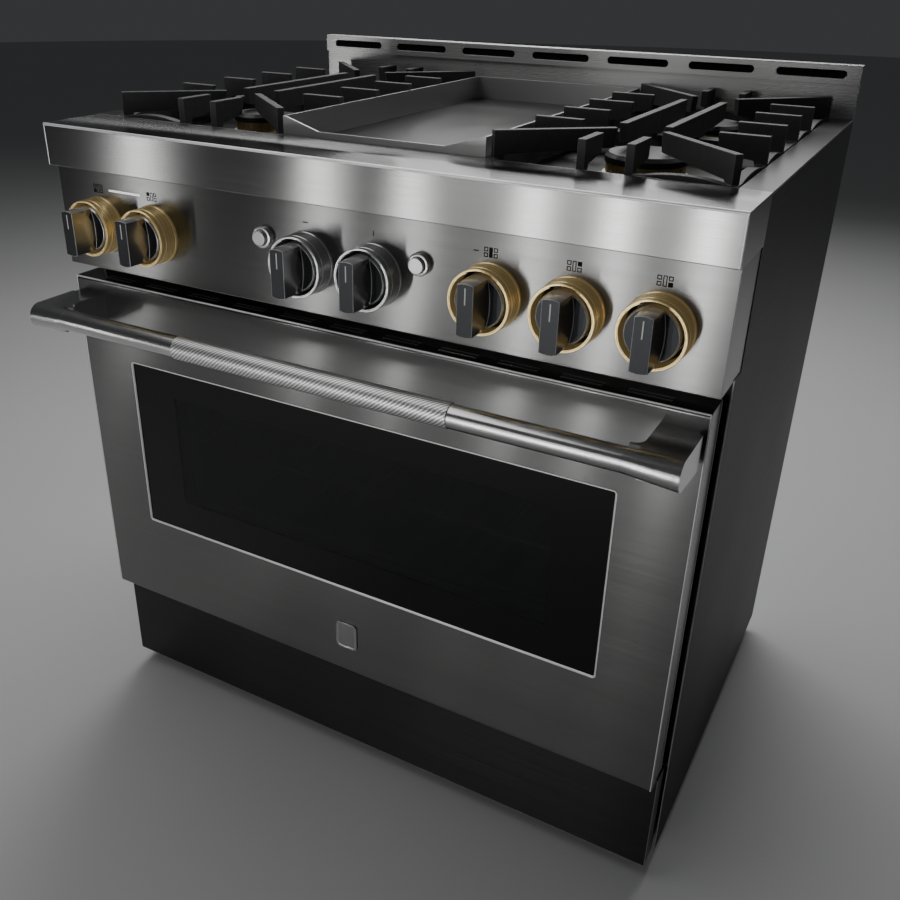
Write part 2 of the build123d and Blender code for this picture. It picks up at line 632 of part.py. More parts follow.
def make_manifold():
    y = VALVE_Y[1] + 8 + 9
    pipe = rod_x((-400, INLET_X), y, KNOB_Z, 9)
    rise = rod_z(INLET_X, y, (KNOB_Z, INLET_Z), 9) + Pos(INLET_X, y, KNOB_Z) * Sphere(9)
    run = Pos(INLET_X, y, INLET_Z) * Sphere(9) + rod_y(INLET_X, (y, BACK_Y - 24), INLET_Z, 9)
    nipple = rod_y(INLET_X, (BACK_Y - 25, BACK_Y), INLET_Z, INLET_R)
    pipe = pipe + rise + run + nipple
    return pipe - rod_y(INLET_X, (BACK_Y - 24, BACK_Y + 1), INLET_Z, 7.5)


valves = []
brass_bezels = []
steel_bezels = []
for knob_name, knob_x in zip(KNOB_NAMES, KNOB_X):
    export(f"knob_{knob_name}", make_knob(knob_x))
    if knob_name in OVEN_KNOBS:
        valves.append(make_switch(knob_x))
        steel_bezels.append(make_bezel(knob_x))
    else:
        export(f"valve_stem_{knob_name}", make_stem(knob_x))
        valves.append(make_valve(knob_x))
        brass_bezels.append(make_bezel(knob_x))


# ---------------------------------------------------------------- push buttons
BUTTON_FRONT_Y = 1.0
COLLAR_FRONT_Y = 6.0


def make_button(x):
    cap = rod_y(x, (BUTTON_FRONT_Y, PANEL_Y - 3), BUTTON_Z, BUTTON_R)
    cap = fillet(cap.edges().group_by(Axis.Y)[0], 1.0)
    return cap + rod_y(x, (PANEL_Y - 3, PANEL_Y + 14), BUTTON_Z, BUTTON_R - 4)


def make_collar(x):
    collar = rod_y(x, (COLLAR_FRONT_Y, PANEL_Y), BUTTON_Z, COLLAR_R)
    collar = fillet(collar.edges().group_by(Axis.Y)[0], 2.0)
    return collar - rod_y(x, (COLLAR_FRONT_Y - 1, PANEL_Y + 1), BUTTON_Z, BUTTON_R + RUNNING_GAP)


export("button_left", make_button(-BUTTON_X))
export("button_right", make_button(BUTTON_X))
export("brass_bezels", *brass_bezels)
export("steel_bezels", *steel_bezels, make_collar(-BUTTON_X), make_collar(BUTTON_X))
export("control_valves", *valves)
export("gas_manifold", make_manifold())


# ---------------------------------------------------------------- open burners
def make_burner_base(x, y, ring_r):
    bowl = rod_z(x, y, (WELL_FLOOR_Z, RING_LOW_Z), ring_r + 3.5)
    neck = rod_z(x, y, (WELL_FLOOR_Z - 26, WELL_FLOOR_Z + 1), 15.8)
    return bowl + neck - rod_z(x, y, (WELL_FLOOR_Z - 27, RING_LOW_Z + 1), 9)


def make_port_ring(x, y, ring_r):
    ring = rod_z(x, y, (RING_LOW_Z, RING_TOP_Z), ring_r) - rod_z(x, y, (RING_LOW_Z - 1, RING_TOP_Z + 1), ring_r - 5)
    ports = 28 if ring_r > 40 else 20
    for step in range(ports):
        port = rod_y(0, (-ring_r - 1, -ring_r + 6), 0, 1.1)
        ring = ring - Pos(x, y, RING_LOW_Z + 6) * Rot(0, 0, 360 * step / ports) * port
    return ring


def make_cap(x, y, ring_r):
    cap = rod_z(x, y, (RING_TOP_Z, CAP_TOP_Z), ring_r + 1.5)
    return chamfer(cap.edges().group_by(Axis.Z)[-1], 4.5)


export("burner_bases", *[make_burner_base(x, y, r) for name, x, y, r in burner_places()])
export("burner_port_rings", *[make_port_ring(x, y, r) for name, x, y, r in burner_places()])
export("burner_caps", *[make_cap(x, y, r) for name, x, y, r in burner_places()])


# ---------------------------------------------------------------- grates
RAIL_WIDTH = 11.0
RAIL_LOW_Z = 896.0
RAIL_TOP_Z = 914.5
LOW_RAIL_Z = 904.0         # the front rail dips here, in front of the burner
HUMP_TOP_Z = 919.0
FOOT_LOW_Z = WELL_FLOOR_Z + 0.3
FIN_PAIR_X = (253.0, 307.0)
SIDE_FIN_Y = (238.0, 331.0, 424.0, 517.0)


def make_fin(start, tip):
    """A straight fin from its foot on the rail to its free tip, which slopes back underneath."""
    length = hypot(tip[0] - start[0], tip[1] - start[1])
    angle = degrees(atan2(tip[1] - start[1], tip[0] - start[0]))
    outline = [(0, RAIL_LOW_Z), (7, RAIL_LOW_Z), (14, FIN_LOW_Z - 5), (length - 5, FIN_LOW_Z),
               (length - 2, FIN_LOW_Z + 1), (length, GRATE_TOP_Z), (0, GRATE_TOP_Z)]
    face = Plane.XZ * make_face(Polyline(*outline, close=True))
    fin = extrude(face, FIN_THICK / 2, both=True)
    return Pos(start[0], start[1], 0) * Rot(0, 0, angle) * fin


def hump(centre, half, along_x):
    """A low arch on top of a rail between two fins."""
    rise = HUMP_TOP_Z - RAIL_TOP_Z
    radius = (half ** 2 + rise ** 2) / (2 * rise)
    if along_x:
        drum = Pos(centre[0], centre[1], HUMP_TOP_Z - radius) * Rot(90, 0, 0) * Cylinder(radius, RAIL_WIDTH)
    else:
        drum = Pos(centre[0], centre[1], HUMP_TOP_Z - radius) * Rot(0, 90, 0) * Cylinder(radius, RAIL_WIDTH)
    span = (half, RAIL_WIDTH) if along_x else (RAIL_WIDTH, half)
    return drum & slab((centre[0] - span[0], centre[0] + span[0]), (centre[1] - span[1], centre[1] + span[1]),
                       (RAIL_TOP_Z - 2, HUMP_TOP_Z + 1))


def make_grate(front):
    """Right-hand grate, front or rear. The left ones are its mirror images."""
    y0, y1 = (GRATE_FRONT_Y, GRATE_SEAM_Y - 1.0) if front else (GRATE_SEAM_Y + 1.0, GRATE_REAR_Y)
    edge = RAIL_WIDTH / 2
    frame = slab((GRATE_IN_X, GRATE_OUT_X), (y0, y1), (RAIL_LOW_Z, RAIL_TOP_Z))
    frame = frame - slab((GRATE_IN_X + RAIL_WIDTH, GRATE_OUT_X - RAIL_WIDTH), (y0 + RAIL_WIDTH, y1 - RAIL_WIDTH),
                         (RAIL_LOW_Z - 1, RAIL_TOP_Z + 1))
    if front:
        frame = frame - slab((GRATE_IN_X + RAIL_WIDTH, FIN_PAIR_X[1]), (y0 - 1, y0 + RAIL_WIDTH + 1),
                             (LOW_RAIL_Z, RAIL_TOP_Z + 1))
    front_reach, rear_reach = (158.0, 238.5) if front else (496.0, 605.0)
    fins = []
    for x in FIN_PAIR_X:
        fins.append(make_fin((x, y0), (x, front_reach)))
        fins.append(make_fin((x, y1), (x, rear_reach)))
    side_y = SIDE_FIN_Y[:2] if front else SIDE_FIN_Y[2:]
    for y in side_y:
        fins.append(make_fin((GRATE_OUT_X, y), (365.0, y)))
        fins.append(make_fin((GRATE_IN_X, y), (204.0, y)))
    outer_y = y0 if front else y1
    tip_y = (204.0, 202.0) if front else (541.0, 538.0)
    step = 4.0 if front else -4.0
    fins.append(make_fin((GRATE_OUT_X - 4, outer_y + step), (314.0, tip_y[0])))
    fins.append(make_fin((GRATE_IN_X + 4, outer_y + step), (257.0, tip_y[1])))
    humps = []
    outer_gap, inner_gap = (FIN_PAIR_X[1] + GRATE_OUT_X) / 2, (FIN_PAIR_X[0] + GRATE_IN_X) / 2
    rail_y = y0 + edge if front else y1 - edge
    for x in [outer_gap] if front else [outer_gap, inner_gap]:
        humps.append(hump((x, rail_y), 44, True))
    for x in (GRATE_IN_X + edge, GRATE_OUT_X - edge):
        humps.append(hump((x, (side_y[0] + side_y[1]) / 2), 40, False))
        corner_y = (y0 + side_y[0]) / 2 if front else (y1 + side_y[1]) / 2
        humps.append(hump((x, corner_y), 50, False))
    feet = [slab((x, x + RAIL_WIDTH), (y, y + RAIL_WIDTH), (FOOT_LOW_Z, RAIL_LOW_Z + 1))
            for x in (GRATE_IN_X, GRATE_OUT_X - RAIL_WIDTH) for y in (y0, y1 - RAIL_WIDTH)]
    grate = join_all(frame, fins + humps + feet)
    trim = slab((GRATE_IN_X, GRATE_OUT_X), (y0, y1), (FOOT_LOW_Z, GRATE_TOP_Z + 1))
    return grate & trim


for grate_row in ("front", "rear"):
    right_grate = make_grate(grate_row == "front")
    export(f"grate_{grate_row}_right", right_grate)
    export(f"grate_{grate_row}_left", mirror(right_grate, about=Plane.YZ))


# ---------------------------------------------------------------- griddle
SURROUND_Y = (103.0, 651.0)
SURROUND_WALL = 2.5
TROUGH_Y = 128.0
PLATE_THICK = 9.0


def make_griddle_surround():
    """Open frame: full-height side and rear walls, a low front lip with ramped ends, and a trough."""
    outer = wide(GRIDDLE_HALF + SURROUND_WALL, SURROUND_Y, (WELL_FLOOR_Z, GRIDDLE_WALL_Z))
    hollow = wide(GRIDDLE_HALF, (SURROUND_Y[0] + SURROUND_WALL, SURROUND_Y[1] - SURROUND_WALL),
                  (WELL_FLOOR_Z - 1, GRIDDLE_WALL_Z + 1))
    frame = outer - hollow
    ramp = 50.0
    cut = front_plate([(-GRIDDLE_HALF, GRIDDLE_WALL_Z + 1), (-GRIDDLE_HALF, GRIDDLE_WALL_Z),
                       (-GRIDDLE_HALF + ramp, GRIDDLE_LIP_Z), (GRIDDLE_HALF - ramp, GRIDDLE_LIP_Z),
                       (GRIDDLE_HALF, GRIDDLE_WALL_Z), (GRIDDLE_HALF, GRIDDLE_WALL_Z + 1)],
                      (SURROUND_Y[0] - 1, SURROUND_Y[0] + SURROUND_WALL + 1))
    frame = frame - cut
    floor_z = GRIDDLE_PLATE_Z - 12
    trough = wide(GRIDDLE_HALF, (SURROUND_Y[0] + SURROUND_WALL, TROUGH_Y - 1), (floor_z - 2, floor_z))
    trough = trough + wide(GRIDDLE_HALF, (TROUGH_Y - 3, TROUGH_Y - 1), (floor_z - 2, GRIDDLE_PLATE_Z - 3))
    return frame + trough


def make_griddle_plate():
    rear = SURROUND_Y[1] - SURROUND_WALL - 0.5
    plate = wide(GRIDDLE_HALF - 0.5, (TROUGH_Y, rear), (GRIDDLE_PLATE_Z - PLATE_THICK, GRIDDLE_PLATE_Z))
    plate = chamfer(edges_along(plate, Axis.X, y=TROUGH_Y, z=GRIDDLE_PLATE_Z), 2)
    return plate


def make_griddle_burner():
    z = 864.0
    tubes = [rod_y(x, (150, 560), z, 11) for x in (-70, 70)]
    tubes.append(rod_x((-70, 70), 560, z, 10))
    tubes += [Pos(x, 560, z) * Sphere(11.5) for x in (-70, 70)]
    tubes += [slab((x - 14, x + 14), (y - 8, y + 8), (z, WELL_FLOOR_Z - 2.0)) for x in (-70, 70) for y in (170, 540)]
    brackets = [wide(GRIDDLE_HALF + 6, (y - 8, y + 8), (WELL_FLOOR_Z - 5, WELL_FLOOR_Z - 2)) for y in (170, 540)]
    return join_all(tubes[0], tubes[1:] + brackets)


export("griddle_surround", make_griddle_surround())
export("griddle_plate", make_griddle_plate())
export("griddle_burner", make_griddle_burner())
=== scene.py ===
import math

import bmesh
import bpy
from mathutils import Matrix, Vector


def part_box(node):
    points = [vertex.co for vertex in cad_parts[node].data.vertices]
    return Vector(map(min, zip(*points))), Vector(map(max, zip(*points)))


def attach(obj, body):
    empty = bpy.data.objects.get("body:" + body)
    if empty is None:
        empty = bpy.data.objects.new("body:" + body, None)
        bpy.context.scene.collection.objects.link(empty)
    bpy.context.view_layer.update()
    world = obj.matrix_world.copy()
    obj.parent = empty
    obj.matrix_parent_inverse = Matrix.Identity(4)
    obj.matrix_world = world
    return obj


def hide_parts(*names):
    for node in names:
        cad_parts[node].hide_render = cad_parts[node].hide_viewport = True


# A free-standing gas range with four open burners, a centre griddle and one oven, in metres.
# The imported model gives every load-bearing shape; the sections below follow the range as it is put
# together, from the base tray up to the door and its handle.
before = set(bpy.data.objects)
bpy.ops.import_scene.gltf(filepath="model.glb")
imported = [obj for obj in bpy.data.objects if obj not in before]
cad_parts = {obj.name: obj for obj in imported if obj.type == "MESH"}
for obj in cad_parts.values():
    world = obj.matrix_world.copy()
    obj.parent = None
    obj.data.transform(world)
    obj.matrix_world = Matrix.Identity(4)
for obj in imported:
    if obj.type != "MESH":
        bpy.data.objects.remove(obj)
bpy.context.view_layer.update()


# ---------------------------------------------------------------- base tray and levelling legs
# A folded tray of hot-dipped galvanised steel carries the oven, on four threaded feet turned from
# plated bar. The zinc shows its flat crystal pattern, dulled where hands and tools have rubbed it.
class Level:
    """A number that changes over a surface. Arithmetic on it adds Math nodes to its finish."""

    def __init__(self, finish, socket):
        self.finish = finish
        self.socket = socket

    def _sum(self, operation, first, second):
        return self.finish.node("ShaderNodeMath", {"operation": operation}, {0: first, 1: second})

    def __add__(self, other):
        return self._sum("ADD", self, other)

    def __radd__(self, other):
        return self._sum("ADD", other, self)

    def __sub__(self, other):
        return self._sum("SUBTRACT", self, other)

    def __rsub__(self, other):
        return self._sum("SUBTRACT", other, self)

    def __mul__(self, other):
        return self._sum("MULTIPLY", self, other)

    def __rmul__(self, other):
        return self._sum("MULTIPLY", other, self)

    def __abs__(self):
        return self._sum("ABSOLUTE", self, 0.0)


class Finish:
    """One surface finish: a Principled shader, the constants set on it and the nodes that feed it."""

    def __init__(self, name, **constants):
        self.material = bpy.data.materials.new(name)
        self.material.use_nodes = True
        self.tree = self.material.node_tree
        self.tree.nodes.clear()
        self.shader = self.tree.nodes.new("ShaderNodeBsdfPrincipled")
        self.output = self.tree.nodes.new("ShaderNodeOutputMaterial")
        self.tree.links.new(self.shader.outputs[0], self.output.inputs["Surface"])
        self.set(self.shader, {key.replace("_", " "): value for key, value in constants.items()})

    def set(self, node, sockets):
        for key, value in sockets.items():
            socket = node.inputs[key]
            if isinstance(value, Level):
                self.tree.links.new(value.socket, socket)
            elif socket.type == "RGBA":
                socket.default_value = (*value, 1.0)
            else:
                socket.default_value = value

    def node(self, kind, settings=None, sockets=None, output=0):
        made = self.tree.nodes.new(kind)
        for key, value in (settings or {}).items():
            setattr(made, key, value)
        self.set(made, sockets or {})
        return Level(self, made.outputs[output])

    def wear(self, **varying):
        """Feed the shader's own sockets with what changes over the surface."""
        self.set(self.shader, {key.replace("_", " "): value for key, value in varying.items()})

    def place(self, stretch=(1.0, 1.0, 1.0), centre=(0.0, 0.0, 0.0)):
        """Object coordinates about a centre, stretched along each axis."""
        spot = self.node("ShaderNodeTexCoord", output="Object")
        moved = self.node("ShaderNodeVectorMath", {"operation": "SUBTRACT"}, {0: spot, 1: centre})
        return self.node("ShaderNodeVectorMath", {"operation": "MULTIPLY"}, {0: moved, 1: stretch})

    def axis(self, spot, name):
        return self.node("ShaderNodeSeparateXYZ", sockets={0: spot}, output=name)

    def noise(self, stretch, detail=3.0, harsh=0.5):
        sockets = {"Vector": self.place(stretch), "Scale": 1.0, "Detail": detail, "Roughness": harsh}
        return self.node("ShaderNodeTexNoise", sockets=sockets)

    def cells(self, scale, output="Color"):
        sockets = {"Vector": self.place((scale, scale, scale)), "Scale": 1.0}
        return self.node("ShaderNodeTexVoronoi", sockets=sockets, output=output)

    def step(self, value, low, high):
        """Nought below low, one above high, smooth between."""
        sockets = {"Value": value, "From Min": low, "From Max": high}
        return self.node("ShaderNodeMapRange", {"interpolation_type": "SMOOTHSTEP"}, sockets)

    def tint(self, mask, dark, light):
        return self.node("ShaderNodeMix", {"data_type": "RGBA"}, {0: mask, 6: dark, 7: light}, output=2)

    def round_edges(self, radius):
        """The normal of a surface whose sharp edges are broken by this radius."""
        return self.node("ShaderNodeBevel", {"samples": 4}, {"Radius": radius})

    def edge_mask(self, rounded, reach=0.25):
        """One along the broken edges, nought on the flats."""
        flat = self.node("ShaderNodeNewGeometry", output="Normal")
        same = self.node("ShaderNodeVectorMath", {"operation": "DOT_PRODUCT"}, {0: rounded, 1: flat}, "Value")
        return self.step(1.0 - same, 0.01, reach)

    def bump(self, height, depth, rounded=None):
        sockets = {"Height": height, "Strength": 1.0, "Distance": depth}
        if rounded:
            sockets["Normal"] = rounded
        return self.node("ShaderNodeBump", sockets=sockets)


def dress(finish, *names):
    """Give CAD nodes a finish."""
    for name in names:
        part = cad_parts[name]
        part.data.materials.clear()
        part.data.materials.append(finish.material)


zinc = Finish("galvanised_steel", Metallic=1.0)
crystals = zinc.cells(110.0)
crystal_tone = zinc.axis(crystals, "X")
zinc_dirt = zinc.noise((9.0, 9.0, 9.0), 5.0)
zinc_edges = zinc.round_edges(0.0006)
zinc.wear(Base_Color=zinc.tint(crystal_tone * 0.6 + zinc_dirt * 0.4, (0.36, 0.37, 0.38), (0.46, 0.47, 0.48)),
          Roughness=0.34 + 0.2 * zinc_dirt + 0.08 * crystal_tone,
          Normal=zinc.bump(crystal_tone, 0.00006, zinc_edges))
dress(zinc, "base_frame", "levelling_legs")


# ---------------------------------------------------------------- oven body and its insulation
# The cavity is pressed steel under speckled grey-blue porcelain enamel, fired glossy. A glass-fibre
# blanket wraps it, and a woven seal on a steel frame meets the door.
enamel = Finish("oven_enamel", Coat_Weight=0.6, Coat_Roughness=0.08)
speckle_size = enamel.cells(900.0, "Distance")
speckle_pick = enamel.noise((310.0, 310.0, 310.0), 1.0)
speckles = enamel.step(speckle_size, 0.30, 0.18) * enamel.step(speckle_pick, 0.52, 0.60)
enamel_flow = enamel.noise((28.0, 28.0, 28.0), 2.0)
enamel.wear(Base_Color=enamel.tint(speckles, (0.018, 0.020, 0.026), (0.34, 0.35, 0.37)),
            Roughness=0.24 + 0.14 * enamel_flow,
            Normal=enamel.bump(enamel_flow, 0.0003, enamel.round_edges(0.0015)))
dress(enamel, "oven_cavity", "fan_cover")

fibre = Finish("glass_fibre", Roughness=0.95, Sheen_Weight=0.2)
tufts = fibre.noise((140.0, 140.0, 420.0), 6.0, 0.7)
fibre.wear(Base_Color=fibre.tint(tufts, (0.42, 0.38, 0.28), (0.78, 0.74, 0.60)), Normal=fibre.bump(tufts, 0.003))
dress(fibre, "oven_insulation")

seal = Finish("woven_seal")
seal_x = seal.axis(seal.place((1900.0, 1900.0, 1900.0)), "X")
seal_z = seal.axis(seal.place((1900.0, 1900.0, 1900.0)), "Z")
plait = seal.node("ShaderNodeMath", {"operation": "SINE"}, {0: seal_x + seal_z})
cross = seal.node("ShaderNodeMath", {"operation": "SINE"}, {0: seal_x - seal_z})
weave = 0.5 + 0.25 * plait + 0.25 * cross
seal.wear(Base_Color=seal.tint(weave, (0.010, 0.010, 0.011), (0.075, 0.075, 0.078)),
          Roughness=0.9 - 0.15 * weave, Normal=seal.bump(weave, 0.0004))
dress(seal, "door_gasket")


# ---------------------------------------------------------------- racks, guides, burners and fan
# Racks are drawn wire, welded and nickel plated, on folded guides. The oven burners are aluminised
# tube, straw coloured by heat, and a stamped fan turns behind a slotted enamel cover.
nickel = Finish("nickel_wire", Metallic=1.0)
draw_lines = nickel.noise((400.0, 60.0, 400.0), 3.0)
nickel.wear(Base_Color=nickel.tint(draw_lines, (0.48, 0.46, 0.43), (0.72, 0.70, 0.66)),
            Roughness=0.18 + 0.16 * draw_lines, Normal=nickel.bump(draw_lines, 0.00005))
dress(nickel, "oven_rack_lower", "oven_rack_middle", "oven_rack_upper", "rack_guides")

heat_steel = Finish("aluminised_steel", Metallic=1.0)
straw = heat_steel.noise((14.0, 14.0, 14.0), 4.0)
heat_grain = heat_steel.noise((500.0, 90.0, 500.0), 3.0)
heat_steel.wear(Base_Color=heat_steel.tint(straw, (0.40, 0.38, 0.36), (0.60, 0.52, 0.40)),
                Roughness=0.36 + 0.2 * heat_grain,
                Normal=heat_steel.bump(heat_grain, 0.0001, heat_steel.round_edges(0.0006)))
dress(heat_steel, "bake_burner", "broil_burner", "griddle_burner", "fan_blade")

motor_paint = Finish("motor_black")
paint_peel = motor_paint.noise((260.0, 260.0, 260.0), 3.0)
motor_paint.wear(Base_Color=motor_paint.tint(paint_peel, (0.012, 0.012, 0.013), (0.035, 0.035, 0.036)),
                 Roughness=0.42 + 0.2 * paint_peel,
                 Normal=motor_paint.bump(paint_peel, 0.0002, motor_paint.round_edges(0.001)))
dress(motor_paint, "fan_motor")


# ---------------------------------------------------------------- oven lamp
# A bayonet lamp sits high on the cavity's rear wall behind a moulded glass dome, held by a plated
# bezel ring that screws into the wall.
def add_piece(name, shape, finish, body, crease=35.0):
    """A finished bmesh as one piece of the range that moves with a body."""
    bmesh.ops.recalc_face_normals(shape, faces=shape.faces)
    mesh = bpy.data.meshes.new(name)
    shape.to_mesh(mesh)
    shape.free()
    mesh.polygons.foreach_set("use_smooth", [True] * len(mesh.polygons))
    mesh.set_sharp_from_angle(angle=math.radians(crease))
    mesh.materials.append(finish.material)
    piece = bpy.data.objects.new(name, mesh)
    bpy.context.scene.collection.objects.link(piece)
    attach(piece, body)
    return piece


def turned(profile, centre, steps, into=None, sweep=math.tau, start=0.0):
    """Turn a closed profile of (radius, y) points about a line along Y through a centre."""
    shape = into or bmesh.new()
    spin_axis = Vector((0.0, 1.0, 0.0))
    lean = Matrix.Rotation(start, 4, spin_axis)
    ring = [shape.verts.new(lean @ Vector((0.0, y, radius)) + centre) for radius, y in profile]
    edges = [shape.edges.new((ring[i - 1], ring[i])) for i in range(len(ring))]
    whole = abs(sweep - math.tau) < 1e-6
    made = bmesh.ops.spin(shape, geom=ring + edges, cent=centre, axis=spin_axis, angle=sweep, steps=steps,
                          use_merge=whole)
    if not whole:
        bmesh.ops.holes_fill(shape, edges=edges, sides=0)
        last = [item for item in made["geom_last"] if isinstance(item, bmesh.types.BMEdge)]
        bmesh.ops.holes_fill(shape, edges=last, sides=0)
    return shape


lamp_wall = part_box("oven_cavity")[1].y - 0.003
lamp_centre = Vector((0.262, lamp_wall, 0.628))
ring_profile = [(0.026, 0.0), (0.032, 0.0), (0.032, -0.004), (0.030, -0.007), (0.027, -0.007), (0.026, -0.005)]
add_piece("oven_lamp_bezel", turned(ring_profile, lamp_centre, 48), nickel, "range_body")
lamp_glass = Finish("lamp_glass", IOR=1.5, Emission_Strength=0.35)
lamp_ribs = lamp_glass.noise((160.0, 20.0, 160.0), 2.0)
lamp_glass.wear(Base_Color=lamp_glass.tint(lamp_ribs, (0.55, 0.52, 0.45), (0.80, 0.77, 0.70)),
                Emission_Color=lamp_glass.tint(lamp_ribs, (0.85, 0.66, 0.40), (1.0, 0.86, 0.62)),
                Roughness=0.12 + 0.1 * lamp_ribs, Normal=lamp_glass.bump(lamp_ribs, 0.0005))
dome_profile = [(0.0004, -0.020), (0.010, -0.0192), (0.018, -0.0165), (0.0235, -0.011), (0.0258, -0.004),
                (0.0258, 0.0), (0.0004, 0.0)]
add_piece("oven_lamp_dome", turned(dome_profile, lamp_centre, 40), lamp_glass, "range_body")


# ---------------------------------------------------------------- gas manifold, valves and stems
# The manifold is zinc-plated pipe, and each valve is a forged aluminium body with a turned stem that
# carries its knob.
aluminium = Finish("forged_aluminium", Metallic=1.0)
forge_grain = aluminium.noise((700.0, 700.0, 700.0), 4.0)
aluminium.wear(Base_Color=aluminium.tint(forge_grain, (0.46, 0.46, 0.47), (0.68, 0.68, 0.69)),
               Roughness=0.38 + 0.2 * forge_grain,
               Normal=aluminium.bump(forge_grain, 0.0002, aluminium.round_edges(0.0008)))
dress(aluminium, "control_valves")
dress(zinc, "gas_manifold")
stem_names = [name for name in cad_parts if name.startswith("valve_stem_")]
dress(aluminium, *stem_names)


# ---------------------------------------------------------------- body skins
# The sides, the toe panel and the oven front frame are satin steel whose dark colour is painted shade, and the back
# is galvanised. The ledge, the panel and the back guard are brushed stainless steel.
def brushed(name, dark, light, satin, along=(3.0, 900.0, 900.0), edge=0.0010, pull=0.94, metal=1.0):
    """Stainless steel with a fine grain that runs one way, and edges broken bright: the edges are tinted near white
    and made less metallic, a painted highlight.
    """
    steel = Finish(name, Anisotropic=pull, Anisotropic_Rotation=0.25)
    hairs = steel.noise(along, 2.0, 0.6)
    bands = steel.noise(tuple(rate * 0.12 for rate in along), 2.0)
    smears = steel.noise((4.0, 4.0, 4.0), 3.0)
    rounded = steel.round_edges(edge)
    edge_highlight = steel.edge_mask(rounded, 0.12)
    grain = hairs * 0.6 + bands * 0.4
    body = steel.tint(grain, dark, light)
    steel.wear(Base_Color=steel.tint(edge_highlight, body, (0.90, 0.90, 0.89)), Metallic=metal - 0.6 * edge_highlight,
               Roughness=satin + 0.08 * (hairs - 0.5) + 0.06 * (smears - 0.5),
               Normal=steel.bump(grain, 0.000006, rounded))
    return steel


front_steel = brushed("brushed_steel", (0.52, 0.52, 0.515), (0.60, 0.60, 0.59), 0.28)
shaded_side_steel = brushed("shaded_side_steel", (0.010, 0.010, 0.011), (0.024, 0.024, 0.025), 0.42, (900.0, 3.0, 900.0), 0.0012)
dress(shaded_side_steel, "side_panel_left", "side_panel_right")
dress(zinc, "back_panel")
shadow_steel = brushed("shadow_steel", (0.030, 0.030, 0.030), (0.055, 0.055, 0.054), 0.30)
dress(shadow_steel, "kick_panel", "oven_front_frame")


# ---------------------------------------------------------------- cooktop pan and back guard
# One pressed stainless pan holds the burners in a deep well. The guard is a brushed riser with a
# separate slotted cap, which lets the oven's flue gas out behind the slots.
# The pan is a much darker copy of the brushed steel: its dark colour is painted shade in the well.
shaded_pan_steel = brushed("shaded_pan_steel", (0.075, 0.075, 0.074), (0.125, 0.125, 0.123), 0.32, pull=0.4)
dress(shaded_pan_steel, "cooktop_pan")
dress(front_steel, "backguard_riser", "backguard_cap")

# A near-black strip stands just behind the slots and hides the inside of the cap; its black is painted shade.
slot_shade = Finish("slot_shade_black", Roughness=0.85, Specular_IOR_Level=0.2)
slot_dust = slot_shade.noise((300.0, 300.0, 300.0), 3.0)
slot_shade.wear(Base_Color=slot_shade.tint(slot_dust, (0.002, 0.002, 0.002), (0.009, 0.009, 0.009)))
cap_low, cap_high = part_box("backguard_cap")
strip_margin = 0.022
strip_wide = cap_high.x - cap_low.x - 2 * strip_margin
strip_tall = 0.0205
strip_spot = Vector((0.0, cap_low.y + 0.0032, (cap_low.z + cap_high.z) / 2))
slot_shade_strip = bmesh.new()
bmesh.ops.create_cube(slot_shade_strip, size=1.0, matrix=Matrix.Translation(strip_spot)
                      @ Matrix.Diagonal((strip_wide, 0.0006, strip_tall, 1.0)))
strip_ends = [edge for edge in slot_shade_strip.edges if abs(edge.verts[0].co.y - edge.verts[1].co.y) > 0.0003]
bmesh.ops.bevel(slot_shade_strip, geom=strip_ends, affect="EDGES", offset=0.004, segments=4, profile=0.5, material=-1)
add_piece("guard_slot_shade", slot_shade_strip, slot_shade, "range_body")


# ---------------------------------------------------------------- griddle
# A polished stainless surround with ramped front corners stands round a thick ground steel plate,
# whose grain runs front to back. A trough at the front takes the fat.
griddle_steel = brushed("griddle_steel", (0.045, 0.045, 0.044), (0.078, 0.078, 0.076), 0.30, (900.0, 4.0, 900.0),
                        pull=0.3)
surround_steel = brushed("surround_steel", (0.52, 0.52, 0.515), (0.58, 0.58, 0.575), 0.30, (3.0, 3.0, 900.0),
                         pull=0.3, metal=0.72)
dress(griddle_steel, "griddle_plate")
dress(surround_steel, "griddle_surround")


# ---------------------------------------------------------------- open burners
# Each burner is a cast aluminium base, a turned brass ring drilled with flame ports, and a cap of
# cast iron under glossy black enamel.
brass = Finish("brass", Metallic=1.0)
turning = brass.noise((900.0, 900.0, 40.0), 2.0)
tarnish = brass.noise((60.0, 60.0, 60.0), 4.0)
brass_edges = brass.round_edges(0.0005)
brass_worn = brass.edge_mask(brass_edges)
brass_body = brass.tint(tarnish, (0.90, 0.62, 0.24), (1.0, 0.80, 0.42))
brass.wear(Base_Color=brass.tint(brass_worn, brass_body, (1.0, 0.86, 0.52)),
           Roughness=0.18 + 0.12 * turning + 0.08 * tarnish,
           Normal=brass.bump(turning, 0.00003, brass_edges))
dress(brass, "burner_port_rings")

cap_enamel = Finish("cap_enamel", Coat_Weight=0.25, Coat_Roughness=0.2)
cap_peel = cap_enamel.noise((220.0, 220.0, 220.0), 3.0)
cap_edges = cap_enamel.round_edges(0.0012)
cap_worn = cap_enamel.edge_mask(cap_edges)
cap_enamel.wear(Base_Color=cap_enamel.tint(cap_worn, (0.008, 0.008, 0.009), (0.045, 0.045, 0.046)),
                Roughness=0.40 + 0.16 * cap_peel, Normal=cap_enamel.bump(cap_peel, 0.0003, cap_edges))
dress(cap_enamel, "burner_caps")
dress(aluminium, "burner_bases")

cap_radius = 0.0485
small_ring, large_ring = 0.033, 0.047
caps_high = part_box("burner_caps")[1]
rings_low, rings_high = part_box("burner_port_rings")
front_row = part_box("griddle_plate")[0].y + 0.110
rear_row = caps_high.y - cap_radius
burner_spots = [(side, row, side < 0 and row == front_row) for side in (-1.0, 1.0) for row in (front_row, rear_row)]

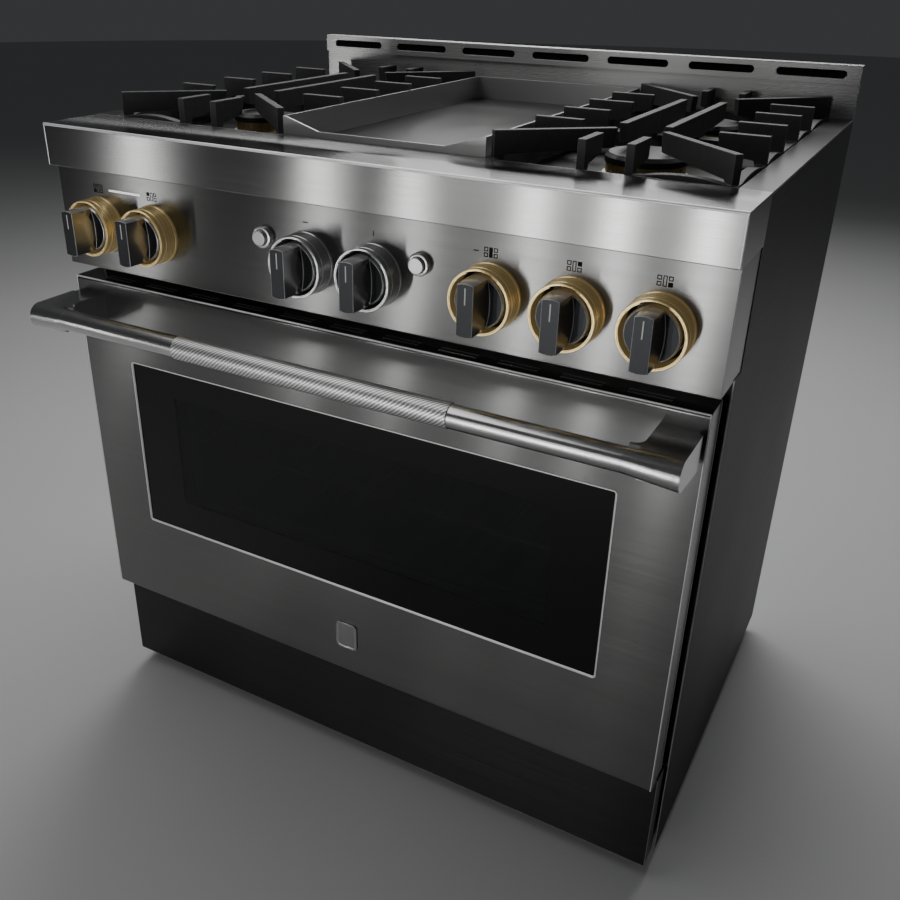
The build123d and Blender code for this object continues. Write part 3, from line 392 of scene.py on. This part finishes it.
# A white ceramic spark plug with a wire tip stands beside each port ring.
ceramic = Finish("spark_ceramic", Coat_Weight=0.5, Coat_Roughness=0.1)
glaze = ceramic.noise((400.0, 400.0, 400.0), 3.0)
soot = ceramic.step(ceramic.axis(ceramic.place(), "Z"), 0.900, 0.9045)
ceramic.wear(Base_Color=ceramic.tint(soot * 0.5 + glaze * 0.15, (0.80, 0.78, 0.73), (0.30, 0.26, 0.22)),
             Roughness=0.25 + 0.2 * glaze, Normal=ceramic.bump(glaze, 0.0001))
electrodes = bmesh.new()
tips = bmesh.new()
upright = Matrix.Rotation(math.radians(-90.0), 4, "X")
for side, row, small in burner_spots:
    reach = (small_ring if small else large_ring) + 0.0085
    foot = Vector((side * (caps_high.x - cap_radius) + 0.5 * reach, row - 0.866 * reach, rings_low.z - 0.0045))
    plug = turned([(0.0003, 0.0), (0.0032, 0.0), (0.0032, -0.006), (0.0026, -0.0075), (0.0024, -0.0125),
                   (0.0018, -0.0135), (0.0003, -0.0135)], Vector(), 20)
    bmesh.ops.transform(plug, matrix=Matrix.Translation(foot) @ upright.inverted(), verts=plug.verts)
    kept = bpy.data.meshes.new("plug")
    plug.to_mesh(kept)
    electrodes.from_mesh(kept)
    bmesh.ops.create_cone(tips, cap_ends=True, segments=12, radius1=0.0006, radius2=0.0006, depth=0.003,
                          matrix=Matrix.Translation(foot + Vector((0.0, 0.0, 0.0148))))
    plug.free()
    bpy.data.meshes.remove(kept)
add_piece("spark_electrodes", electrodes, ceramic, "range_body")
add_piece("spark_tips", tips, nickel, "range_body")


# ---------------------------------------------------------------- grates
# Sand-cast iron under matt black enamel: rails, low arches and upright fins in one casting. The
# skin keeps the sand's texture, and the enamel is thinner and greyer along every edge; this lighter edge colour is
# partly wear and partly a painted highlight.
iron = Finish("cast_iron", Specular_IOR_Level=0.55)
sand = iron.noise((1100.0, 1100.0, 1100.0), 4.0, 0.65)
lumps = iron.noise((130.0, 130.0, 130.0), 3.0)
iron_edges = iron.round_edges(0.0016)
iron_edge_wear_and_highlight = iron.edge_mask(iron_edges, 0.2)
iron_body = iron.tint(lumps, (0.036, 0.036, 0.037), (0.068, 0.068, 0.070))
iron.wear(Base_Color=iron.tint(iron_edge_wear_and_highlight, iron_body, (0.24, 0.24, 0.243)),
          Roughness=0.46 + 0.22 * sand, Normal=iron.bump(sand * 0.7 + lumps * 0.6, 0.0005, iron_edges))
dress(iron, "grate_front_left", "grate_front_right", "grate_rear_left", "grate_rear_right")


# ---------------------------------------------------------------- landing ledge and control panel
# Both are folded from the same brushed stainless sheet: the ledge has a square nose over the panel,
# which is set back and drilled for the spindles.
# The ledge and the panel are given darker copies of the back guard's steel, the panel darker still: painted shade.
shaded_ledge_steel = brushed("shaded_ledge_steel", (0.29, 0.29, 0.286), (0.38, 0.38, 0.375), 0.20, edge=0.0008)
shaded_panel_steel = brushed("shaded_panel_steel", (0.17, 0.17, 0.168), (0.25, 0.25, 0.247), 0.22)
dress(shaded_ledge_steel, "front_fascia")
dress(shaded_panel_steel, "control_panel")


# Small burner pictures are screen printed in black above the knobs: four squares for the open
# burners and a bar for the griddle, the filled one showing which burner the knob works.
ink = Finish("screen_ink", Specular_IOR_Level=0.15)
ink_grain = ink.noise((900.0, 900.0, 900.0), 2.0)
ink.wear(Base_Color=ink.tint(ink_grain, (0.006, 0.006, 0.006), (0.020, 0.020, 0.020)),
         Roughness=0.7 + 0.2 * ink_grain)
panel_low, panel_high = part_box("control_panel")
print_height = 0.00008
mark_z = 0.8345
square_side = 0.0048
bar_width, bar_tall = 0.0042, 0.0112
dash_long, dash_thin = 0.0060, 0.0012
oven_dash_long = 0.0075
marks = bmesh.new()


def printed_square(centre, width, height, filled):
    """One rectangle of ink on the panel, solid or as an outline."""
    flat = Matrix.Translation(centre) @ Matrix.Rotation(math.radians(90.0), 4, "X")
    size = Matrix.Diagonal((width, height, 1.0, 1.0))
    made = bmesh.ops.create_grid(marks, x_segments=1, y_segments=1, size=0.5, matrix=flat @ size)
    faces = list({face for vert in made["verts"] for face in vert.link_faces})
    if not filled:
        bmesh.ops.inset_region(marks, faces=faces, thickness=0.0010, use_boundary=True, use_even_offset=True)
        bmesh.ops.delete(marks, geom=faces, context="FACES_ONLY")


squares = ((-0.0058, 0.0031), (-0.0058, -0.0031), (0.0058, 0.0031), (0.0058, -0.0031))
lit_square = {"knob_left_front": 1, "knob_left_rear": 0, "knob_right_rear": 2, "knob_right_front": 3}
for name in ("knob_left_front", "knob_left_rear", "knob_griddle", "knob_right_rear", "knob_right_front"):
    low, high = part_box(name)
    middle = Vector(((low.x + high.x) / 2, panel_low.y - print_height, mark_z))
    for number, (across, up) in enumerate(squares):
        spot = middle + Vector((across, 0.0, up))
        printed_square(spot, square_side, square_side, lit_square.get(name) == number)
    printed_square(middle, bar_width, bar_tall, name == "knob_griddle")
griddle_dash_x = 0.177
oven_mark_x = 0.0472
printed_square(Vector((griddle_dash_x, panel_low.y - print_height, mark_z)), dash_long, dash_thin, True)
printed_square(Vector((-oven_mark_x, panel_low.y - print_height, mark_z)), oven_dash_long, dash_thin, True)
printed_square(Vector((oven_mark_x, panel_low.y - print_height, mark_z)), dash_thin, dash_long, True)
add_piece("panel_marks", marks, ink, "range_body")

light_bar_glow = Finish("light_bar", Emission_Strength=1.1, Roughness=0.35)
bar_falloff = light_bar_glow.noise((60.0, 60.0, 60.0), 2.0)
light_bar_glow.wear(Base_Color=light_bar_glow.tint(bar_falloff, (0.80, 0.80, 0.80), (0.92, 0.92, 0.92)),
                    Emission_Color=light_bar_glow.tint(bar_falloff, (0.80, 0.84, 0.90), (1.0, 1.0, 1.0)))
light_bar = bmesh.new()
bmesh.ops.create_cube(light_bar, size=1.0, matrix=Matrix.Translation((-0.3365, panel_low.y - 0.0002, 0.8340))
                      @ Matrix.Diagonal((0.055, 0.0008, 0.0022, 1.0)))
bmesh.ops.bevel(light_bar, geom=light_bar.edges[:], affect="EDGES", offset=0.0003, segments=2, profile=0.5,
                material=-1)
add_piece("light_bar", light_bar, light_bar_glow, "range_body")


# Each sharp bend carries a thin near-white rod that reads as a thin bright line: a painted highlight.
trim_highlight_steel = Finish("highlight_trim", Metallic=0.55)
trim_grain = trim_highlight_steel.noise((300.0, 300.0, 300.0), 2.0)
trim_highlight_steel.wear(Base_Color=trim_highlight_steel.tint(trim_grain, (0.84, 0.84, 0.84), (0.96, 0.96, 0.96)),
                Roughness=0.34 + 0.1 * trim_grain)


def highlight_rod(name, body, start, end, radius):
    """A thin bright rod let into a sheet's sharp outer edge, from one point to another; its near-white colour is a
    painted highlight.
    """
    run = end - start
    turn = run.to_track_quat("Z", "Y").to_matrix().to_4x4()
    shape = bmesh.new()
    bmesh.ops.create_cone(shape, cap_ends=True, segments=24, radius1=radius, radius2=radius, depth=run.length,
                          matrix=Matrix.Translation((start + end) / 2) @ turn)
    add_piece(name, shape, trim_highlight_steel, body)


nose_low, nose_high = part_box("front_fascia")
nose_sink = 0.0018
nose_radius = 0.0021
end_radius = 0.0013
nose_y = nose_low.y + nose_sink
nose_z = nose_high.z - nose_sink
highlight_rod("ledge_nose", "range_body", Vector((nose_low.x + 0.0002, nose_y, nose_z)),
              Vector((nose_high.x - 0.0002, nose_y, nose_z)), nose_radius)
end_y = nose_low.y + 0.0010
side_sink = 0.0009
side_sink_y = 0.0008
for hand, edge_x in (("left", nose_low.x + end_radius), ("right", nose_high.x - end_radius)):
    highlight_rod("ledge_end_" + hand, "range_body", Vector((edge_x, end_y, panel_high.z + 0.001)),
                  Vector((edge_x, end_y, nose_z)), end_radius)
    side_low, side_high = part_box("side_panel_" + hand)
    corner_x = side_low.x + side_sink if hand == "left" else side_high.x - side_sink
    corner_y = side_low.y + side_sink_y
    highlight_rod("side_bend_" + hand, "range_body", Vector((corner_x, corner_y, side_low.z + 0.002)),
                  Vector((corner_x, corner_y, panel_low.z - 0.001)), side_sink)


# ---------------------------------------------------------------- bezels and knobs
# The rings are turned brass, or polished steel for the two oven controls. Each knob is a chromed
# zinc casting with scooped flanks, a dark brushed face and a white pointer line.
chrome = Finish("polished_steel")
chrome_grain = chrome.noise((700.0, 40.0, 700.0), 2.0)
chrome_edges = chrome.round_edges(0.0014)
# The broken edges are tinted near white and made less metallic: a painted highlight.
chrome_edge_highlight = chrome.edge_mask(chrome_edges, 0.12)
chrome_facing = chrome.axis(chrome.node("ShaderNodeTexCoord", output="Normal"), "Y")
chrome_front = chrome.step(chrome_facing, -0.80, -0.95)
# Faces that point up are painted lighter and made less metallic: a painted highlight on the tops.
chrome_up = chrome.axis(chrome.node("ShaderNodeTexCoord", output="Normal"), "Z")
chrome_top_highlight = chrome.step(chrome_up, 0.6, 0.9)
chrome_side_top_highlight = chrome.tint(chrome_top_highlight, (0.50, 0.50, 0.51), (0.80, 0.80, 0.80))
chrome_body = chrome.tint(chrome_front, chrome_side_top_highlight, (0.028, 0.029, 0.031))
chrome.wear(Base_Color=chrome.tint(chrome_edge_highlight, chrome_body, (0.97, 0.97, 0.97)),
            Metallic=0.94 - 0.3 * chrome_top_highlight - 0.6 * chrome_edge_highlight,
            Roughness=0.12 + 0.14 * chrome_grain + 0.12 * chrome_front,
            Normal=chrome.bump(chrome_grain, 0.00003, chrome_edges))
knob_names = [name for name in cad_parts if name.startswith("knob_")]
dress(chrome, *knob_names)

# Each ring is turned with a groove behind its rim and a thin inner lip. The lip is milled away over
# the top, where a black band of painted shade shows, and a black well of painted shade closes the gap behind the
# knob.
bright = Finish("bright_steel", Metallic=0.72)
bright_grain = bright.noise((500.0, 60.0, 500.0), 2.0)
bright_edges = bright.round_edges(0.0005)
bright.wear(Base_Color=bright.tint(bright_grain, (0.62, 0.62, 0.62), (0.82, 0.82, 0.81)),
            Roughness=0.13 + 0.12 * bright_grain, Normal=bright.bump(bright_grain, 0.00003, bright_edges))
button_steel = brushed("button_steel", (0.34, 0.34, 0.34), (0.50, 0.50, 0.495), 0.24, pull=0.0)
dress(button_steel, "button_left", "button_right")
ring_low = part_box("brass_bezels")[0]
ring_y = ring_low.y
panel_y = panel_low.y
outer_ring = [(0.0347, 0.0004), (0.0351, 0.0), (0.0362, 0.0), (0.0370, 0.0008), (0.0370, 0.0066),
              (0.0364, 0.0071), (0.0364, 0.0086), (0.0370, 0.0091), (0.0372, 0.0250), (0.0380, 0.0256),
              (0.0380, panel_y - ring_y), (0.0342, panel_y - ring_y), (0.0342, 0.0024), (0.0347, 0.0020)]
inner_lip = [(0.0334, 0.0006), (0.0338, 0.0001), (0.0345, 0.0001), (0.0347, 0.0004), (0.0347, 0.0026),
             (0.0334, 0.0026)]
well_back = panel_y - ring_y - 0.0003
well = [(0.0300, 0.0254), (0.0341, 0.0254), (0.0341, well_back), (0.0300, well_back)]
slot_band = [(0.0342, 0.0010), (0.0347, 0.0010), (0.0347, 0.0030), (0.0342, 0.0030)]
lip_gap = math.radians(50.0)
# The brass glows faintly though it is no lamp, a painted highlight that lightens the rings, and its broken edges are
# tinted pale and made less metallic, a painted highlight too.
glowing_ring_brass = Finish("glowing_ring_brass", Emission_Strength=0.06)
ring_turning = glowing_ring_brass.noise((0.0, 1600.0, 0.0), 2.0)
ring_edges = glowing_ring_brass.round_edges(0.0005)
ring_edge_highlight = glowing_ring_brass.edge_mask(ring_edges)
ring_body = glowing_ring_brass.tint(ring_turning, (0.96, 0.72, 0.32), (1.0, 0.82, 0.42))
glowing_ring_brass.wear(Base_Color=glowing_ring_brass.tint(ring_edge_highlight, ring_body, (1.0, 0.90, 0.62)), Metallic=0.78 - 0.4 * ring_edge_highlight,
                Emission_Color=glowing_ring_brass.tint(ring_turning, (0.86, 0.58, 0.22), (1.0, 0.74, 0.34)),
                Roughness=0.20 + 0.12 * ring_turning, Normal=glowing_ring_brass.bump(ring_turning, 0.00002, ring_edges))
brass_rings = bmesh.new()
steel_rings = bmesh.new()
dark_rings = bmesh.new()
for name in knob_names:
    low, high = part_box(name)
    centre = Vector(((low.x + high.x) / 2, ring_y, (low.z + high.z) / 2))
    metal = steel_rings if "oven" in name else brass_rings
    turned(outer_ring, centre, 96, metal)
    turned(inner_lip, centre, 80, metal, math.tau - lip_gap, lip_gap / 2)
    turned(well, centre, 48, dark_rings)
    turned(slot_band, centre, 16, dark_rings, lip_gap, -lip_gap / 2)
brass_piece = add_piece("bezels_brass", brass_rings, glowing_ring_brass, "range_body")
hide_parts("brass_bezels")
for name in ("button_left", "button_right"):
    low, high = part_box(name)
    centre = Vector(((low.x + high.x) / 2, 0.0, (low.z + high.z) / 2))
    inner = (high.x - low.x) / 2 + 0.00005
    outer = inner + 0.0039
    collar_y = panel_y - 0.0076
    collar = [(inner, panel_y), (inner, collar_y + 0.0010), (inner + 0.0006, collar_y), (outer - 0.0018, collar_y),
              (outer - 0.0005, collar_y + 0.0006), (outer, collar_y + 0.0019), (outer, panel_y)]
    turned(collar, centre, 64, steel_rings)
steel_piece = add_piece("bezels_steel", steel_rings, bright, "range_body")
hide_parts("steel_bezels")
add_piece("bezel_shade_wells", dark_rings, slot_shade, "range_body")

# The pointer on each knob is a shallow groove filled with white paint.
white_paint = Finish("pointer_paint")
paint_chalk = white_paint.noise((700.0, 700.0, 700.0), 3.0)
white_paint.wear(Base_Color=white_paint.tint(paint_chalk, (0.66, 0.66, 0.65), (0.86, 0.86, 0.85)),
                 Roughness=0.4 + 0.2 * paint_chalk)
for name in knob_names:
    low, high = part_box(name)
    pointer = bmesh.new()
    spot = Vector(((low.x + high.x) / 2, low.y, high.z - 0.0138))
    bmesh.ops.create_cube(pointer, size=1.0,
                          matrix=Matrix.Translation(spot) @ Matrix.Diagonal((0.0014, 0.0003, 0.0185, 1.0)))
    bmesh.ops.bevel(pointer, geom=pointer.edges[:], affect="EDGES", offset=0.00012, segments=2, profile=0.5,
                    material=-1)
    add_piece("pointer_" + name[5:], pointer, white_paint, name)


# ---------------------------------------------------------------- oven door
# A folded brushed skin closes over a steel liner. The outer glass is black-printed round a tinted
# window, the inner glass is clear, and the hinges are folded steel with a through pin.
# The skin is a darker copy of the back guard's brushed steel: its darker colour is painted shade.
shaded_door_steel = brushed("shaded_door_steel", (0.16, 0.16, 0.158), (0.22, 0.22, 0.217), 0.20)
dress(shaded_door_steel, "door_skin")
dress(heat_steel, "door_liner")
dress(zinc, "door_hinges")

window_low, window_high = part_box("door_inner_glass")
window_middle = (window_low + window_high) / 2
window_half = (window_high - window_low) / 2

outer_glass = Finish("tinted_glass", IOR=1.38)
glass_spot = outer_glass.place(centre=tuple(window_middle))
glass_x = abs(outer_glass.axis(glass_spot, "X"))
glass_z = abs(outer_glass.axis(glass_spot, "Z"))
printed = outer_glass.node("ShaderNodeMath", {"operation": "MAXIMUM"}, {
    0: outer_glass.step(glass_x, window_half.x - 0.0105, window_half.x - 0.0095),
    1: outer_glass.step(glass_z, window_half.z - 0.0105, window_half.z - 0.0095)})
fingers = outer_glass.noise((7.0, 7.0, 7.0), 4.0)
outer_glass.wear(Base_Color=outer_glass.tint(printed, (0.010, 0.011, 0.012), (0.003, 0.003, 0.0035)),
                 Roughness=0.04 + 0.05 * fingers, Alpha=0.62 + 0.38 * printed)
dress(outer_glass, "door_outer_glass")

inner_glass = Finish("clear_glass", IOR=1.5)
haze = inner_glass.noise((12.0, 12.0, 12.0), 4.0)
inner_glass.wear(Base_Color=inner_glass.tint(haze, (0.02, 0.02, 0.02), (0.05, 0.05, 0.05)),
                 Roughness=0.06 + 0.06 * haze, Alpha=0.18 + 0.10 * haze)
dress(inner_glass, "door_inner_glass")


# A thin frame is set in the window's edge and slopes down to the glass; its near-white colour is a painted
# highlight.
door_low, door_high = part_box("door_skin")
glass_low, glass_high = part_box("door_outer_glass")
window_rim = 0.0099
rim_centre = (glass_low + glass_high) / 2
rim_centre.y = door_low.y - 0.0004
rim_width = glass_high.x - glass_low.x - 2 * window_rim
rim_height = glass_high.z - glass_low.z - 2 * (window_rim - 0.002)
trim = bmesh.new()
flat_front = Matrix.Translation(rim_centre) @ Matrix.Rotation(math.radians(90.0), 4, "X")
bmesh.ops.create_grid(trim, x_segments=1, y_segments=1, size=0.5,
                      matrix=flat_front @ Matrix.Diagonal((rim_width, rim_height, 1.0, 1.0)))
bmesh.ops.bevel(trim, geom=trim.verts[:], affect="VERTICES", offset=0.005, segments=8, profile=0.5, material=-1)
pane = trim.faces[:]
bmesh.ops.inset_region(trim, faces=pane, thickness=0.0012, use_boundary=True, use_even_offset=True)
bmesh.ops.inset_region(trim, faces=pane, thickness=0.0012, depth=-0.0016, use_boundary=True, use_even_offset=True)
bmesh.ops.delete(trim, geom=pane, context="FACES_ONLY")
bmesh.ops.recalc_face_normals(trim, faces=trim.faces)
bmesh.ops.solidify(trim, geom=trim.faces[:], thickness=-0.0002)
add_piece("window_trim", trim, trim_highlight_steel, "door", 20.0)

# Thin near-white rods run along the skin's folded edges, along the top and down both sides: a painted highlight.
fold_sink = 0.0010
fold_y = door_low.y + fold_sink
fold_z = door_high.z - fold_sink
highlight_rod("door_top_bend", "door", Vector((door_low.x + fold_sink, fold_y, fold_z)),
              Vector((door_high.x - fold_sink, fold_y, fold_z)), 0.0012)
for hand, edge_x in (("left", door_low.x + fold_sink), ("right", door_high.x - fold_sink)):
    highlight_rod("door_side_bend_" + hand, "door", Vector((edge_x, fold_y, door_low.z + 0.001)),
                  Vector((edge_x, fold_y, fold_z)), 0.0011)

# A plain polished badge with no mark on it is glued low on the door.
badge_steel = brushed("badge_steel", (0.22, 0.22, 0.22), (0.36, 0.36, 0.355), 0.24)
badge = bmesh.new()
badge_spot = Vector((-0.002, door_low.y - 0.0008, 0.2485))
bmesh.ops.create_cube(badge, size=1.0,
                      matrix=Matrix.Translation(badge_spot) @ Matrix.Diagonal((0.034, 0.0022, 0.044, 1.0)))
badge_corners = [edge for edge in badge.edges if abs(edge.verts[0].co.y - edge.verts[1].co.y) > 0.001]
bmesh.ops.bevel(badge, geom=badge_corners, affect="EDGES", offset=0.007, segments=6, profile=0.5, material=-1)
badge_face = [face for face in badge.faces if face.normal.y < -0.9]
bmesh.ops.inset_region(badge, faces=badge_face, thickness=0.0024, depth=0.0)
bmesh.ops.inset_region(badge, faces=badge_face, thickness=0.0006, depth=-0.0007)
add_piece("door_badge", badge, badge_steel, "door")


# ---------------------------------------------------------------- door handle
# A polished steel bar runs between two cast brackets. The sleeve over its middle carries fine ridges
# that slant at about 45 degrees, so that wet hands keep their grip.
bar_steel = Finish("bar_steel", Metallic=1.0)
bar_grain = bar_steel.noise((40.0, 700.0, 700.0), 2.0)
bar_edges = bar_steel.round_edges(0.0009)
bar_steel.wear(Base_Color=bar_steel.tint(bar_grain, (0.50, 0.50, 0.50), (0.68, 0.68, 0.67)),
               Roughness=0.16 + 0.12 * bar_grain, Normal=bar_steel.bump(bar_grain, 0.00002, bar_edges))
dress(bar_steel, "handle_bar", "handle_brackets")
sleeve_low, sleeve_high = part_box("handle_sleeve")
sleeve_centre = (sleeve_low + sleeve_high) / 2
sleeve_radius = (sleeve_high.z - sleeve_low.z) / 2
bar_radius = (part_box("handle_bar")[1].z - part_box("handle_bar")[0].z) / 2
sleeve_half = (sleeve_high.x - sleeve_low.x) / 2
ridge_pitch = 0.0054
ridge_starts = 19
ridge_depth = 0.0004
knurl_steel = Finish("knurled_steel", Metallic=0.85)
knurl_spot = knurl_steel.place(centre=tuple(sleeve_centre))
knurl_turn = knurl_steel.node("ShaderNodeMath", {"operation": "ARCTAN2"}, {
    0: knurl_steel.axis(knurl_spot, "Z"), 1: knurl_steel.axis(knurl_spot, "Y")})
knurl_phase = knurl_steel.axis(knurl_spot, "X") * (1 / ridge_pitch) + knurl_turn * (ridge_starts / math.tau)
knurl_wrap = knurl_steel.node("ShaderNodeMath", {"operation": "FRACT"}, {0: knurl_phase})
knurl_groove_shade = abs(knurl_wrap - 0.5) * 2
knurl_grime = knurl_steel.noise((260.0, 260.0, 260.0), 3.0)
# The grooves are painted dark and the ridges near white: painted shade in the grooves and a painted highlight on the
# ridges.
knurl_steel.wear(Base_Color=knurl_steel.tint(knurl_steel.step(knurl_groove_shade, 0.30, 0.85), (0.86, 0.86, 0.85),
                                             (0.30, 0.30, 0.30)),
                 Roughness=0.30 + 0.14 * knurl_grime)
knurl_rows = 480
knurl_teeth = 96
sleeve = bmesh.new()
bmesh.ops.create_grid(sleeve, x_segments=knurl_rows, y_segments=knurl_teeth, size=1.0)
for vert in sleeve.verts:
    row = round((vert.co.x + 1) / 2 * knurl_rows)
    share = round((vert.co.y + 1) / 2 * knurl_teeth) / knurl_teeth
    across = (row / knurl_rows * 2 - 1) * sleeve_half
    steep = abs((across / ridge_pitch + ridge_starts * share) % 1.0 - 0.5) * 2
    counter = abs((across / ridge_pitch - ridge_starts * share) % 1.0 - 0.5) * 2
    radius = sleeve_radius - ridge_depth * (0.92 * steep + 0.08 * counter)
    if row in (0, knurl_rows):
        radius = sleeve_radius - 0.0009
    turn = share * math.tau
    vert.co = sleeve_centre + Vector((across, radius * math.cos(turn), radius * math.sin(turn)))
bmesh.ops.remove_doubles(sleeve, verts=sleeve.verts, dist=0.00001)
rims = [edge for edge in sleeve.edges if edge.is_boundary]
ends = bmesh.ops.extrude_edge_only(sleeve, edges=rims)
for vert in [item for item in ends["geom"] if isinstance(item, bmesh.types.BMVert)]:
    spoke = Vector((0.0, vert.co.y - sleeve_centre.y, vert.co.z - sleeve_centre.z)).normalized()
    vert.co = Vector((vert.co.x, sleeve_centre.y, sleeve_centre.z)) + spoke * (bar_radius + 0.0001)
sleeve_piece = add_piece("knurled_sleeve", sleeve, knurl_steel, "door", 20.0)
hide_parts("handle_sleeve")


# ---------------------------------------------------------------- studio
# A plain pale floor, soft boxes over and round the range, and a camera above its right front corner.
floor_mesh = bpy.data.meshes.new("floor")
floor = bpy.data.objects.new("floor", floor_mesh)
floor_shape = bmesh.new()
bmesh.ops.create_circle(floor_shape, cap_ends=True, radius=14.0, segments=96)
floor_shape.to_mesh(floor_mesh)
floor_shape.free()
bpy.context.scene.collection.objects.link(floor)
pale = Finish("pale_floor")
cloud = pale.noise((1.5, 1.5, 1.5), 3.0)
pale.wear(Base_Color=pale.tint(cloud, (0.56, 0.56, 0.56), (0.60, 0.60, 0.60)), Roughness=0.7 + 0.1 * cloud)
floor_mesh.materials.append(pale.material)

world = bpy.data.worlds.new("studio")
bpy.context.scene.world = world
world.use_nodes = True
world.node_tree.nodes["Background"].inputs["Color"].default_value = (0.80, 0.82, 0.85, 1.0)
world.node_tree.nodes["Background"].inputs["Strength"].default_value = 0.05


def soft_box(name, at, towards, size, power):
    """A rectangular soft box, aimed at a point on the range."""
    lamp = bpy.data.lights.new(name, "AREA")
    lamp.shape = "RECTANGLE"
    lamp.size, lamp.size_y = size
    lamp.energy = power
    box = bpy.data.objects.new(name, lamp)
    box.location = at
    box.rotation_euler = (Vector(towards) - Vector(at)).to_track_quat("-Z", "Y").to_euler()
    bpy.context.scene.collection.objects.link(box)


soft_box("overhead", (-0.3, 1.5, 2.5), (0.0, 0.1, 0.9), (2.4, 1.2), 44.0)
soft_box("rear_low", (-0.6, 3.2, 1.9), (0.0, 0.0, 0.9), (2.6, 0.9), 10.0)
soft_box("nose_line", (-0.9, -0.50, 2.3), (0.0, -0.32, 0.7), (2.5, 0.9), 11.0)
soft_box("front_right", (-0.45, -2.7, 0.75), (0.2, -0.28, 0.8), (1.2, 1.2), 5.0)
for number, across in enumerate((-2.03, -1.23, -0.88, -0.47, -0.21, 0.05)):
    strip_at = Vector((across, -2.0, 0.37))
    soft_box(f"strip_{number}", strip_at, (across * 0.35 + 0.40, -0.28, 0.70), (0.06, 0.7), 1.5)

camera_data = bpy.data.cameras.new("camera")
camera_data.sensor_width = 36.0
camera_data.lens = 38.337
camera_data.shift_x = 0.0325
camera_data.shift_y = -0.0230
camera = bpy.data.objects.new("camera", camera_data)
camera_at = Vector((0.61765, -1.19227, 1.11507))
camera_aim = Vector((-0.04567, 0.0, 0.44415))
camera_roll = math.radians(0.888)
aimed = (camera_aim - camera_at).to_track_quat("-Z", "Y").to_matrix().to_4x4()
camera.matrix_world = Matrix.Translation(camera_at) @ aimed @ Matrix.Rotation(camera_roll, 4, "Z")
bpy.context.scene.collection.objects.link(camera)
bpy.context.scene.camera = camera
